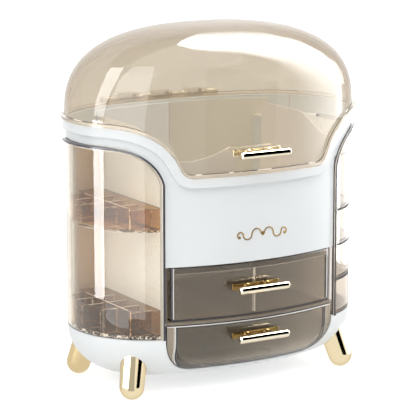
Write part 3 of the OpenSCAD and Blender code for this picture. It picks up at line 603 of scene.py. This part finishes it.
def linerPart(x0, x1, thick):
    # thin sheet against the curved back wall: the wall's inner line and the same line moved inwards
    s = linerSettings
    e, top = s["bevel"], s["top"]
    low = max(v.co.z for v in cadNodes["top_floor"].data.vertices) * 1000.0
    x = np.linspace(x0, x1, s["columns"])[:, None]
    outer, inner = -frontY(x, s["inner"] + s["skin"]), -frontY(x, s["inner"] - thick)
    y = np.concatenate([outer, outer, inner + e, inner, inner, inner + e], axis=1)
    z = np.tile([low, top, top, top - e, low + e, low], (s["columns"], 1))
    return loft(np.stack([np.tile(x, (1, 6)), y, z], axis=2))


def linerShadowLook():
    # warm white with a painted shadow: darker at the middle than 60 mm to its right
    g = graph("liner_painted_shadow")
    toRight = ((g.along(0) - 4.0) * (1 / 60.0)).clamp()
    return g.surface(g.principled(g.blend(toRight, rgb((224, 220, 212)), rgb((238, 234, 224))),
                                  0.4 + 0.05 * g.noise(420.0)))


# the right sheet lies on the back wall to carry that painted shadow
for side, look in (("left", whitePanel), ("right", linerShadowLook())):
    points, faces = linerPart(*linerSettings[side])
    makePiece("back_liner_" + side, points, faces, [look], "cabinet")
print("back liners done")


# the left door and the right bins fill the same opening, mirrored
sideSettings = {"postX": 99.0, "band": 18.0, "gap": 0.6, "lip": 4.0, "lipW": 2.6, "skin": 2.2, "low": 61.6,
                "pivotX": 135.426, "pivotY": 45.4, "barrelR": 4.5, "barrelTop": 246.9, "pitch": 36.4,
                "backY": 50.0, "binX": 99.5, "round": 0.45, "innerTop": 226.9, "lipEndY": 29.4,
                "doorStrip": 2.1, "binStrip": 1.2}
openR = seam["shoulderR"] - sideSettings["band"]
openTop = seam["z"] - sideSettings["band"]


def skinTop(x, g):
    # height of the side opening's edge, drawn g inside it
    r = openR - g
    return np.where(x < shoulderX, centreZ + np.sqrt(np.maximum(r ** 2 - (shoulderX - x) ** 2, 0)), openTop - g)


def mirrorPart(part):
    # the same part on the other side of the middle
    points, faces = part
    return points * np.array([-1, 1, 1]), [f[::-1] for f in faces]


def skinPart(z0):
    # curved skin between a level floor edge and the opening's edge
    s = sideSettings
    g, e, t = s["gap"], s["round"], s["skin"]
    a0 = np.arcsin((shoulderX - s["postX"] - g) / (openR - g))
    xs = shoulderX - (openR - g) * np.sin(a0 * np.linspace(1, 0, 40))
    start = -np.arccos((shoulderX - endX) / endR)
    stop = np.arcsin(s["pivotY"] / endR)
    angles = np.linspace(start, stop, 70)[1:]
    profile = [(0, "low", e), (0, "low", e + 0.6), (0, "high", e + 0.6), (0, "high", e),
               (-e * 0.3, "high", e * 0.3), (-e, "high", 0), (-t + e, "high", 0), (-t, "high", e),
               (-t, "high", e + 0.6), (-t, "low", e + 0.6), (-t, "low", e), (-t + e, "low", 0), (-e, "low", 0)]
    lines = []
    for d, end, inset in profile:
        x = np.concatenate([xs, endX + (endR + d) * np.cos(angles)])
        y = np.concatenate([frontY(xs, d), (endR + d) * np.sin(angles)])
        z = skinTop(x, g) - inset if end == "high" else np.full(len(x), z0 + inset)
        lines.append(np.stack([x, y, z], -1))
    return loft(np.stack(lines, 1))


def edgePick(profileSize, faceCount, plain, endRows=0):
    # 0 for faces on the broad sides, whose profile index is in plain, 1 for the narrow edges and the ends
    k = np.arange(faceCount)
    row, rows = k // profileSize, faceCount // profileSize
    broad = np.isin(k % profileSize, plain) & (row >= endRows) & (row < rows - endRows)
    broad[rows * profileSize:] = False
    return np.where(broad, 0, 1)


def lipPart(z0, z1, strip, dark, pale):
    # raised rail along the front edge, and where z1 is None along the curved top edge too;
    # dark and pale list the sides of its profile that have these looks
    s = sideSettings
    e, h = s["round"], s["lip"]
    g0, g1 = s["gap"], s["gap"] + s["lipW"]
    profile = [(g0, -1.0), (g0, 1.5), (g0, h - 1.1), (g0, h - e), (g0 + 0.3 * e, h - 0.3 * e), (g0 + e, h),
               (g0 + strip, h), (g1 - e, h), (g1 - 0.3 * e, h - 0.3 * e), (g1, h - e), (g1, -1.0)]
    lines = []
    for g, d in profile:
        r = openR - g
        x0 = s["postX"] + g
        a0 = np.arcsin((shoulderX - x0) / r)
        corner = centreZ + r * np.cos(a0)
        rise = np.linspace(z0, corner if z1 is None else z1, 12)
        x, z = np.full(12, x0), rise
        y = frontY(x, d)
        if z1 is None:
            a = a0 * np.linspace(1, 0, 48)[1:]
            ax = shoulderX - r * np.sin(a)
            x = np.concatenate([x, ax])
            z = np.concatenate([z, centreZ + r * np.cos(a)])
            y = np.concatenate([y, frontY(ax, d)])
            b = np.linspace(-np.arccos((shoulderX - endX) / (endR + d)), np.arcsin(s["lipEndY"] / (endR + d)), 50)[1:]
            x = np.concatenate([x, endX + (endR + d) * np.cos(b)])
            y = np.concatenate([y, (endR + d) * np.sin(b)])
            z = np.concatenate([z, np.full(49, openTop - g)])
        lines.append(np.stack([x, y, z], -1))
    points, faces = loft(np.stack(lines, 1)[:, ::-1])
    size = len(profile)
    side = np.arange(len(faces)) % size
    side[len(faces) // size * size:] = -1
    return points, faces, np.select([np.isin(side, dark), np.isin(side, pale)], [1, 2], 0)


def turned(profile, centre, axis="z", steps=40):
    # surface of revolution from (radius, height) pairs about an axis through centre
    a = np.linspace(0, 2 * np.pi, steps, endpoint=False)
    p = np.array(profile, float)
    ring = np.stack([p[:, :1] * np.cos(a), p[:, :1] * np.sin(a), np.broadcast_to(p[:, 1:], (len(p), steps))], -1)
    if axis == "x":
        ring = ring[..., [2, 0, 1]]
    if axis == "y":
        ring = ring[..., [1, 2, 0]]
    return loft(ring + np.array(centre, float))


def barrelPart(z0, z1):
    s = sideSettings
    r = s["barrelR"]
    return turned([(r - 0.4, z0), (r, z0 + 0.4), (r, z1 - 0.4), (r - 0.4, z1)],
                  (s["pivotX"], s["pivotY"], 0), steps=36)


def cupPart(outline, z0, z1, wall, e=0.35):
    # open box with rounded edges: plan outlines inset by d, each at its height; its floor is as thick
    # as its wall
    small = 0.3 * e
    steps = [(e, z0), (small, z0 + small), (0, z0 + e), (0, z0 + e + 0.5), (0, z1 - e - 0.5), (0, z1 - e),
             (small, z1 - small), (e, z1), (wall - e, z1), (wall - small, z1 - small), (wall, z1 - e),
             (wall, z1 - e - 0.5), (wall, z0 + wall + 2.2), (wall, z0 + wall + 1.2),
             (wall + 0.35, z0 + wall + 0.35), (wall + 1.2, z0 + wall)]
    plans = [(outline(d), z) for d, z in steps]
    return loft(np.stack([np.column_stack([p, np.full(len(p), z)]) for p, z in plans]))


def binOutline(d):
    s = sideSettings
    r = endR - d
    x0, y1 = s["binX"] + d, s["backY"] - d
    a = np.linspace(-np.arccos((x0 - endX) / r), np.arcsin(y1 / r), 64)
    arc = np.column_stack([endX + r * np.cos(a), r * np.sin(a)])
    backRun = np.column_stack([np.linspace(arc[-1, 0], x0, 12)[1:], np.full(11, y1)])
    sideRun = np.column_stack([np.full(17, x0), np.linspace(y1, arc[0, 1], 18)[1:]])
    return np.concatenate([arc, backRun, sideRun[:-1]])


def binPick(cup, faces, rows=(0, 1, 2, 4, 5, 6)):
    # a bin's outer lower and upper roundings, along the outline's arc, carry painted shade for the
    # seams between the bins, and what follows its cup is the hinge barrel
    size, arc, count = len(binOutline(0.0)), 62, len(cup[1])
    k = np.arange(count)
    pick = np.full(len(faces), 2)
    pick[:count] = np.isin(k // size, rows) & (k % size < arc)
    return pick


railLooks = [clearRail, doorEdge, paleRail]


def buildDoor():
    s = sideSettings
    skin = skinPart(s["low"])
    points, faces = mirrorPart(join(skin, barrelPart(s["low"], s["barrelTop"])))
    pick = np.full(len(faces), 2)
    pick[:len(skin[1])] = edgePick(13, len(skin[1]), [0, 1, 2, 7, 8, 9])
    makePiece("door_panel", points, faces, [clearDoor, doorEdge, hingeClear], "left_door", ["left_door"],
              pick)
    *rail, pick = lipPart(s["low"], None, s["doorStrip"], (4, 5, 6, 7, 8, 9), (0, 1, 2))
    points, faces = mirrorPart(rail)
    makePiece("door_rail", points, faces, railLooks, "left_door", [], pick)


def buildBins():
    # three plain bins, and on top the one whose skin follows the opening's curved edge
    s = sideSettings
    for i, name in enumerate(["1", "2", "3", "top"]):
        z0, top = s["low"] + i * s["pitch"], name == "top"
        z1 = s["innerTop"] if top else z0 + s["pitch"] - s["gap"]
        body = "right_top_bin" if top else "right_bin_" + name
        cup = cupPart(binOutline, z0, z1, s["skin"])
        if top:
            skin = skinPart(z1 - 0.4)
            points, faces = join(cup, skin, barrelPart(z0, s["barrelTop"]))
            pick = binPick(cup, faces, (0, 1, 2))
            pick[len(cup[1]):len(cup[1]) + len(skin[1])] = 0
        else:
            points, faces = join(cup, barrelPart(z0, z1))
            pick = binPick(cup, faces)
        makePiece("bin_" + name, points, faces, [clearBin, seamShade, hingeClear], body, [body],
                  pick)
        points, faces, pick = lipPart(z0, None if top else z1, s["binStrip"], (4, 5, 6, 7, 9), (8,))
        makePiece("bin_rail_" + name, points, faces, railLooks, body, [], pick)


buildDoor()
buildBins()
print("door and bins done")


# lipstick trays on the left, worked out on the right and mirrored
traySettings = {"inset": 4.0, "sideX": 98.3, "wall": 1.8, "cut": 10.5, "cell": 26.0, "plate": 1.5, "fit": 0.05,
                "round": 0.3, "mid": (168.8, 24.0), "low": (61.1, 29.0), "plateBackY": 40.0,
                "ledge": (98.02, 104.0, -60.0, 46.0, 165.8, 168.8)}


def trayOutline(d):
    # the end's arc, a notch round the hinge pin, the back and the side
    s, t = traySettings, sideSettings
    r, cut = endR - s["inset"] - d, s["cut"] + d
    x0, y1 = s["sideX"] + d, t["backY"] - d
    pivotR = np.hypot(t["pivotX"] - endX, t["pivotY"])
    pivotA = np.arctan2(t["pivotY"], t["pivotX"] - endX)
    stop = pivotA - np.arccos((r ** 2 + pivotR ** 2 - cut ** 2) / (2 * r * pivotR))
    a = np.linspace(-np.arccos((x0 - endX) / r), stop, 60)
    arc = np.column_stack([endX + r * np.cos(a), r * np.sin(a)])
    b0 = np.arctan2(arc[-1, 1] - t["pivotY"], arc[-1, 0] - t["pivotX"])
    b = np.linspace(b0, -np.pi - np.arcsin((y1 - t["pivotY"]) / cut), 24)[1:]
    notch = np.column_stack([t["pivotX"] + cut * np.cos(b), t["pivotY"] + cut * np.sin(b)])
    backRun = np.column_stack([np.linspace(notch[-1, 0], x0, 10)[1:], np.full(9, y1)])
    sideRun = np.column_stack([np.full(15, x0), np.linspace(y1, arc[0, 1], 16)[1:]])
    return np.concatenate([arc, notch, backRun, sideRun[:-1]])


def boxPart(x0, x1, y0, y1, z0, z1, e=0.25):
    # box with eased edges
    def ring(x, s):
        a, b, c, d = y0 + s, y1 - s, z0 + s, z1 - s
        k = max(e - s, 0.02)
        return [(x, a + k, c), (x, b - k, c), (x, b, c + k), (x, b, d - k),
                (x, b - k, d), (x, a + k, d), (x, a, d - k), (x, a, c + k)]
    return loft(np.array([ring(x0, e), ring(x0 + e, 0), ring(x1 - e, 0), ring(x1, e)], float))


def cellParts(z0, h):
    # one plate along the tray, and plates across it on both sides as far as the tray reaches
    s, t = traySettings, sideSettings
    r = endR - s["inset"] - s["wall"] - s["fit"]
    x, half = s["sideX"] + s["cell"], s["plate"] / 2
    parts = [boxPart(x - half, x + half, -np.sqrt(r ** 2 - (x + half - endX) ** 2), s["plateBackY"],
                     z0, z0 + h)]
    for i in range(5):
        y = t["backY"] - s["wall"] - (i + 1) * s["cell"]
        reach = endX + np.sqrt(max(r ** 2 - max(abs(y), abs(y + s["plate"])) ** 2, 0))
        inner = s["sideX"] + s["wall"] + s["fit"]
        if reach > x + half + 3:
            parts.append(boxPart(x + half + s["fit"], reach, y, y + s["plate"], z0, z0 + h - 2))
        if min(reach, x - half) > inner + 3:
            parts.append(boxPart(inner, min(reach, x - half - s["fit"]), y, y + s["plate"], z0, z0 + h - 2))
    return parts


def cellPick(normals, middles, areas):
    # top and bottom edges have painted highlight lines, the upright edges have painted glints
    flat = (np.abs(normals[:, 2]) > 0.3) & (areas < 200)
    return np.select([flat, areas < 30], [1, 2], 0)


def buildTrays():
    s = traySettings
    w = s["wall"]
    for name, sheet, side in [("mid", amberClear, amberClear), ("low", amberDeep, amberFootGlints)]:
        z0, h = s[name]
        parts = [cupPart(trayOutline, z0, z0 + h, w, s["round"])]
        if name == "mid":
            parts.append(boxPart(*s["ledge"]))

        def trayPick(normals, middles, areas):
            # the tray's foot gets the painted glints
            rim = (np.abs(normals[:, 2]) > 0.3) & (areas < 60)
            foot = (middles[:, 2] < z0 + 1.0) & (areas < 60)
            floor = (np.abs(normals[:, 2]) > 0.9) & (areas > 500) & (name == "low")
            return np.select([foot, rim, floor], [2, 1, 3], 0)

        points, faces = mirrorPart(join(*parts))
        makePiece("tray_" + name, points, faces, [side, amberEdge, amberSparkle, amberFloor], "cabinet",
                  ["left_%s_tray" % name], trayPick)
        points, faces = mirrorPart(join(*cellParts(z0 + w, h - w - 1)))
        makePiece("cells_" + name, points, faces, [sheet, amberHighlight, amberSparkle], "cabinet",
                  ["left_%s_cells" % name], cellPick)
    print("left trays done")


buildTrays()


def faceDepth(x, z, d):
    # y of the broad front: the bowl's rounding below its top, an upright cylinder above
    under = np.minimum(z - bowl["top"], 0)
    low = bowl["broadR"] + np.sqrt(np.maximum((bowl["ballR"] + d) ** 2 - under ** 2, 0))
    r = np.where(z < bowl["top"], low, faceR + d)
    return faceY - np.sqrt(r ** 2 - x ** 2)


def facePlate(halfWidth, lowZ, highZ, dOut, dIn, corner=0.0, cx=0.0, e=0.5, columns=60, rows=14):
    # curved plate between two offsets of the front, with edges rounded by e; corner rounds its
    # lower ends, and cx is the x of its middle
    if corner:
        t = np.linspace(0, np.pi / 2, 18)
        bend = (halfWidth - e) - (corner - e) * (1 - np.sin(t))
        flat = np.linspace(-bend[0], bend[0], columns)
        xs = np.concatenate([-bend[::-1], flat[1:-1], bend])
    else:
        xs = np.linspace(-1, 1, columns)[1:-1] * (halfWidth - e - 2.4)
        ends = halfWidth - e - np.array([1.8, 1.2, 0.6, 0.0])
        xs = np.concatenate([-ends[::-1], xs, ends])
    roll = np.linspace(0, np.pi / 2, 5)[1:]
    rolled = (halfWidth - e) + e * np.sin(roll)
    shrink = e * (1 - np.cos(roll))
    xs = np.concatenate([-rolled[::-1], xs, rolled])
    s = np.concatenate([shrink[::-1], np.zeros(len(xs) - 8), shrink])
    lowEdge = np.full(len(xs), float(lowZ))
    if corner:
        over = np.clip(np.abs(xs) - (halfWidth - corner), 0, corner)
        lowEdge = lowZ + corner - np.sqrt(corner ** 2 - over ** 2)
    v = np.linspace(0, 1, rows)
    if rows > 8:
        # close rows beside both roundings
        v = np.concatenate([[0, 0.015, 0.03], np.linspace(0.03, 0.97, rows - 4)[1:-1], [0.97, 0.985, 1.0]])
    bottom, top = np.minimum(lowEdge + s, highZ - 1.0), highZ - s
    near, far, small = dOut - s, dIn + s, 0.3 * e

    def upright(d, order):
        z = (bottom + e)[:, None] + (top - bottom - 2 * e)[:, None] * order[None]
        return z, np.broadcast_to(d[:, None], z.shape)

    def edge(rounding):
        return [np.stack(values, 1) for values in zip(*rounding)]

    cuts = [upright(near, v), edge([(top - small, near - small), (top, near - e), (top, far + e),
                                    (top - small, far + small)]),
            upright(far, v[::-1]), edge([(bottom + small, far + small), (bottom, far + e), (bottom, near - e),
                                         (bottom + small, near - small)])]
    z, d = [np.concatenate(values, 1) for values in zip(*cuts)]
    x = np.broadcast_to((xs + cx)[:, None], z.shape)
    points, faces = loft(np.stack([x, faceDepth(x, z, d), z], -1))
    plain = list(range(rows - 1)) + list(range(rows + 4, 2 * rows + 3))
    return points, faces, edgePick(2 * rows + 8, len(faces), plain, 4)


# heights of the bars and how far each plate stands off the front
handleSettings = {"x": -4.0, "length": 57.0, "r": 3.9, "reach": 16.5, "posts": 11.5, "postR": 2.6, "chamfer": 1.0,
                  "plateL": 54.0, "plateH": 7.0, "plateT": 1.6, "plateGap": 0.02,
                  "lid": (244.0, 1.0), "upper": (109.5, 0.0), "lower": (60.0, 0.0)}
frontSettings = {"back": -2.6, "round": 0.6, "upper": (92.0, 79.3, 133.4), "lower": (97.0, 26.0, 75.2),
                 "lowerCorner": 34.0}


def handleParts(z, d):
    # a bar along x with eased ends, and two posts that widen where they meet the plate
    s = handleSettings
    y = -halfD - d - s["reach"]
    half, r, c, foot = s["length"] / 2, s["r"], s["chamfer"], s["postR"]
    end = [(r - c - 0.4, half), (r - c, half - 0.1), (r - 0.15, half - c + 0.1), (r, half - c - 0.2),
           (r, half - c - 0.8)]
    bar = turned([(w, -x) for w, x in end] + end[::-1], (s["x"], y, z), "x", 64)
    posts = []
    for side in (-1, 1):
        x = s["x"] + side * s["posts"]
        wall = float(faceDepth(np.array(x), np.array(z), np.array(d + s["plateT"])))
        posts.append(turned([(foot, y + 0.5), (foot, wall - 1.4), (foot + 0.3, wall - 0.9),
                             (foot + 1.1, wall - 0.5), (foot + 1.1, wall)], (x, 0, z), "y", 40))
    return bar, posts


def buildFronts():
    s, f = handleSettings, frontSettings
    for name, body, look in [("lid", "lid", goldCream), ("upper", "upper_drawer", goldBronze),
                             ("lower", "lower_drawer", goldBronze)]:
        z, d = s[name]
        bar, posts = handleParts(z, d)
        points, faces = join(bar, *posts)
        pick = np.arange(len(faces)) >= len(bar[1])
        makePiece(name + "_bar", points, faces, [goldBar, look], body, [name + "_handle"], pick)
        points, faces, pick = facePlate(s["plateL"] / 2, z - s["plateH"] / 2, z + s["plateH"] / 2,
                                        d + s["plateT"], d + s["plateGap"], cx=s["x"], columns=30, rows=4)
        makePiece(name + "_plate", points, faces, [look], body, [name + "_handle_plate"])
    for name, look, corner, rows in [("upper", upperSmoke, 0.0, 14), ("lower", lowerSmoke, f["lowerCorner"], 24)]:
        points, faces, pick = facePlate(*f[name], 0.0, f["back"], corner, e=f["round"], rows=rows)
        makePiece(name + "_front", points, faces, [look, smokeEdge], name + "_drawer", [name + "_drawer_front"],
                  pick)
    print("fronts and handles done")


buildFronts()


footSettings = {"x": 124.0, "y": 57.0, "r": 12.5, "topR": 14.0, "length": 40.0, "tilt": 20.0, "sunk": 0.4,
                "columns": 72}


def bowlInside(p):
    # true inside the bowl's outer shape near its ends
    rho = np.hypot(np.abs(p[..., 0]) - endX, p[..., 1])
    ball = np.hypot(np.maximum(rho - bowl["ringR"], 0), np.minimum(p[..., 2] - bowl["top"], 0)) < bowl["ballR"]
    return ball & (p[..., 2] > bowl["floor"])


def footPart(sx, sy):
    # tilted cone with a ball end: each of its lines runs up to where it enters the bowl,
    # which is found by halving
    s = footSettings
    facing = np.arctan2(s["y"], s["x"] - endX)
    turn = facing * sy if sx > 0 else np.pi - sy * facing
    tilt = deg(s["tilt"])
    axis = np.array([-np.cos(turn) * np.sin(tilt), -np.sin(turn) * np.sin(tilt), np.cos(tilt)])
    side = np.array([-np.sin(turn), np.cos(turn), 0.0])
    third = np.cross(axis, side)
    centre = np.array([sx * s["x"], sy * s["y"], s["r"] - s["sunk"]])
    a = np.linspace(0, 2 * np.pi, s["columns"], endpoint=False)
    radial = np.cos(a)[:, None] * side + np.sin(a)[:, None] * third
    grow = (s["topR"] - s["r"]) / s["length"]

    def coneRing(t):
        return centre + t[:, None] * axis + (s["r"] + grow * t)[:, None] * radial

    low, high = np.zeros(s["columns"]), np.full(s["columns"], s["length"] + 6)
    for _ in range(30):
        middle = (low + high) / 2
        hit = bowlInside(coneRing(middle))
        low, high = np.where(hit, low, middle), np.where(hit, middle, high)
    ball = [centre + s["r"] * (np.sin(t) * axis + np.cos(t) * radial)
            for t in np.linspace(-np.pi / 2 + 0.08, 0, 16)]
    rings = np.array(ball + [coneRing(f * high) for f in np.linspace(0, 1, 14)[1:]])
    rings[..., 2] = np.maximum(rings[..., 2], 0.0)
    return loft(rings)


for sy, end, look in [(-1, "front", goldPolished), (1, "back", goldSatin)]:
    for sx, side in [(-1, "left"), (1, "right")]:
        points, faces = footPart(sx, sy)
        name = "%s_%s_" % (end, side)
        makePiece(name + "leg", points, faces, [look], "cabinet", [name + "foot"])
print("feet done")


# the room: floor, backdrop light, soft lamps, and cards that only reflections see
roomSettings = {"backdrop": 0.58, "lookAt": (0, 0, 0.18),
                "lamps": [("key", -60, 45, 1.7, 1.2, 1.0, 12.0), ("fill", 60, 40, 1.8, 1.4, 1.2, 9.0),
                          ("top", 10, 80, 1.6, 1.4, 1.4, 8.0)]}


def world():
    w = bpy.data.worlds.new("studio")
    scene.world = w
    g = Graph(w)
    seen = g.ray("Camera").math("MAXIMUM", g.ray("Glossy")).math("MAXIMUM", g.ray("Transmission"))
    soft, white = [g.node("ShaderNodeBackground", {}, {"Color": (1, 1, 1, 1), "Strength": strength})
                   for strength in (roomSettings["backdrop"], 1.0)]
    g.surface(g.between(seen, soft, white), "ShaderNodeOutputWorld")


def floorLook():
    # pale floor, lifted to white where the camera sees it and even in mirror images
    g = graph("floor")
    bent = g.ray("Transmission")
    matt = g.principled(g.blend(g.noise(3.0), (0.89, 0.89, 0.89, 1), (0.91, 0.91, 0.91, 1)), 0.6,
                        Specular_IOR_Level=0.2)
    lit = g.node("ShaderNodeAddShader", {}, {0: matt, 1: g.glow(roomSettings["backdrop"])})
    shader = g.between(g.ray("Camera").math("MAXIMUM", bent), matt, lit)
    return g.surface(g.between(g.ray("Glossy") * (1.0 - bent), shader, g.glow(0.95)))


def stageSheet(name, points, faces, look):
    mesh = bpy.data.meshes.new(name)
    mesh.from_pydata(points, [], faces)
    mesh.materials.append(look)
    sheet = bpy.data.objects.new(name, mesh)
    scene.collection.objects.link(sheet)
    return mesh


def around(azimuth, elevation, distance, centre=(0, 0, 0.22)):
    a, e = deg(azimuth), deg(elevation)
    return Vector(centre) + distance * Vector((np.sin(a) * np.cos(e), -np.cos(a) * np.cos(e), np.sin(e)))


def lamp(name, azimuth, elevation, distance, width, height, power):
    data = bpy.data.lights.new(name, "AREA")
    data.shape, data.size, data.size_y, data.energy = "RECTANGLE", width, height, power
    made = bpy.data.objects.new(name, data)
    scene.collection.objects.link(made)
    made.location = around(azimuth, elevation, distance)
    made.rotation_mode = "QUATERNION"
    made.rotation_quaternion = (made.location - Vector(roomSettings["lookAt"])).to_track_quat("Z", "Y")
    made.visible_glossy = False
    made.visible_camera = False


def cardLook(name, strength):
    # shines only into reflections
    g = graph(name)
    fade = g.node("ShaderNodeAttribute", {"attribute_name": "fade"}, out="Fac")
    glossy = g.ray("Glossy") * (1.0 - g.ray("Transmission")) * fade
    return g.surface(g.between(glossy, g.clear(), g.glow(strength)))


def cardSheet(name, strength, rows, soft=None):
    # sheet through rows of points, each row split evenly between its first and last point;
    # soft is the share of each row over which the glow rises from nothing
    n, cuts = len(rows), 9
    t = np.linspace(0, 1, cuts)[:, None]
    grid = np.array([np.array(a) * (1 - t) + np.array(b) * t for a, b in rows])
    faces = [(r * cuts + k, r * cuts + k + 1, (r + 1) * cuts + k + 1, (r + 1) * cuts + k)
             for r in range(n - 1) for k in range(cuts - 1)]
    mesh = stageSheet(name, grid.reshape(-1, 3).tolist(), faces, cardLook(name, strength))
    rise = np.ones((n, cuts)) if soft is None else np.clip(t.T / np.array(soft)[:, None], 0.0, 1.0)
    fade = mesh.attributes.new("fade", "FLOAT", "POINT")
    fade.data.foreach_set("value", (rise * rise * (3 - 2 * rise)).reshape(-1))


world()
stageSheet("floor", [(-4, -4, -0.0002), (4, -4, -0.0002), (4, 4, -0.0002), (-4, 4, -0.0002)], [(0, 1, 2, 3)],
           floorLook())
for settings in roomSettings["lamps"]:
    lamp(*settings)

# cards: strength, then the points along their two long edges, and how far each row of the right
# one is moved inwards and fades
cardSettings = {
    "right": (13.2,
              [(0.119, -0.012, 0.915), (0.158, -0.119, 0.904), (0.24, -0.175, 0.871), (0.352, -0.275, 0.787),
               (0.46, -0.34, 0.665), (0.546, -0.387, 0.489), (0.594, -0.378, 0.343), (0.624, -0.342, 0.265),
               (0.627, -0.324, 0.183), (0.627, -0.32, 0.002)],
              [(0.106, 0.155, 0.883), (0.225, 0.341, 0.734), (0.286, 0.348, 0.70), (0.35, 0.318, 0.696),
               (0.427, 0.212, 0.73), (0.534, 0.05, 0.712), (0.639, 0.015, 0.573), (0.687, 0.122, 0.362),
               (0.60, 0.36, 0.218), (0.56, 0.42, 0.002)]),
    "strip": (10.0,
              [(-0.265, 0.115, 0.579), (-0.371, 0.066, 0.514), (-0.438, 0.048, 0.403), (-0.454, 0.065, 0.25)],
              [(-0.255, 0.026, 0.612), (-0.361, -0.04, 0.541), (-0.436, -0.062, 0.423), (-0.463, -0.04, 0.25)]),
    "door": (19.0, [(-0.44, 0.082, 0.235), (-0.44, 0.082, 0.026)], [(-0.44, -0.024, 0.235), (-0.44, -0.024, 0.030)]),
    "bins": (3.5, [(0.391, -0.073, 0.30), (0.391, -0.073, 0.051)], [(0.33, 0.14, 0.30), (0.33, 0.14, 0.051)]),
    "left": (4.4,
             [(-0.228, -0.023, 0.628), (-0.341, -0.053, 0.559), (-0.423, -0.084, 0.444), (-0.461, -0.064, 0.31),
              (-0.46, -0.03, 0.2), (-0.46, -0.03, 0.002)],
             [(-0.155, -0.143, 0.635), (-0.213, -0.248, 0.561), (-0.256, -0.321, 0.444), (-0.28, -0.345, 0.317),
              (-0.297, -0.332, 0.2), (-0.297, -0.332, 0.002)]),
    "crescent": (0.1,
                 [(-0.615, 0.332, 0.992), (-0.233, 0.54, 1.028), (-0.007, 0.599, 0.985), (0.136, 0.625, 0.927),
                  (0.242, 0.61, 0.9), (0.345, 0.579, 0.883), (0.378, 0.574, 0.87)],
                 [(-0.568, 0.23, 1.064), (-0.451, 0.167, 1.14), (-0.275, 0.183, 1.19), (-0.076, 0.246, 1.192),
                  (0.089, 0.273, 1.169), (0.226, 0.271, 1.137), (0.33, 0.434, 1.015)]),
}
inwards = np.array([0, 0, 0, 0, 0.1, 0.3, 0.45, 0.5, 0.5, 0.45])[:, None]
fading = [0.001, 0.001, 0.001, 0.1, 0.3, 0.55, 0.65, 0.7, 0.7, 0.7]
for name, (strength, first, last) in cardSettings.items():
    first, last = np.array(first), np.array(last)
    if name == "right":
        first = first + inwards * (first - last)
    cardSheet("card_" + name, strength, list(zip(first, last)), fading if name == "right" else None)


def coneRow(t, narrow=0.38, wide=0.62, distance=1.0, centre=(0.0, -0.115, 0.15)):
    # two points seen from the bars at angle t round the x axis, where a bar's mirror image lies
    return [tuple(np.array(centre) + distance * np.array([a, -q * np.cos(deg(t)), q * np.sin(deg(t))]))
            for a, q in [(a, np.sqrt(1 - a * a)) for a in (narrow, wide)]]


def archRow(a, x=-0.124, y=-0.057, r=0.038, low=0.0005, high=0.075):
    # upright line beside the front left foot, at angle a round it
    return [(x + r * np.sin(deg(a)), y - r * np.cos(deg(a)), z) for z in (low, high)]


def skyRows(distance, rows):
    # each row runs between two directions, given as azimuth and elevation
    return [[tuple(around(a, e, distance)) for a, e in row] for row in rows]


cardSheet("card_back", 1.5, skyRows(0.75, [[(a, -14), (a, 30)] for a in (-150, -168, -186, -204, -222, -240, -252)]))
# dark cards, and grey ones round the foot, keep the floor's white out of the gold
cardSheet("card_bars", 0.0, [coneRow(t) for t in (-5, 10, 25, 40, 55, 70, 85, 100)])
for first, last, strength in [(-205, -118, 0.8), (-58, -10, 0.5)]:
    cardSheet("card_foot", strength, [archRow(a) for a in np.linspace(first, last, 8)])
cardSheet("card_feet", 0.0, skyRows(0.8, [[(3, -15.8), (36, -15.8)], [(3, 2), (36, 2)], [(4, 25), (40, 25)],
                                          [(10, 50), (46, 50)]]))
print("room ready")
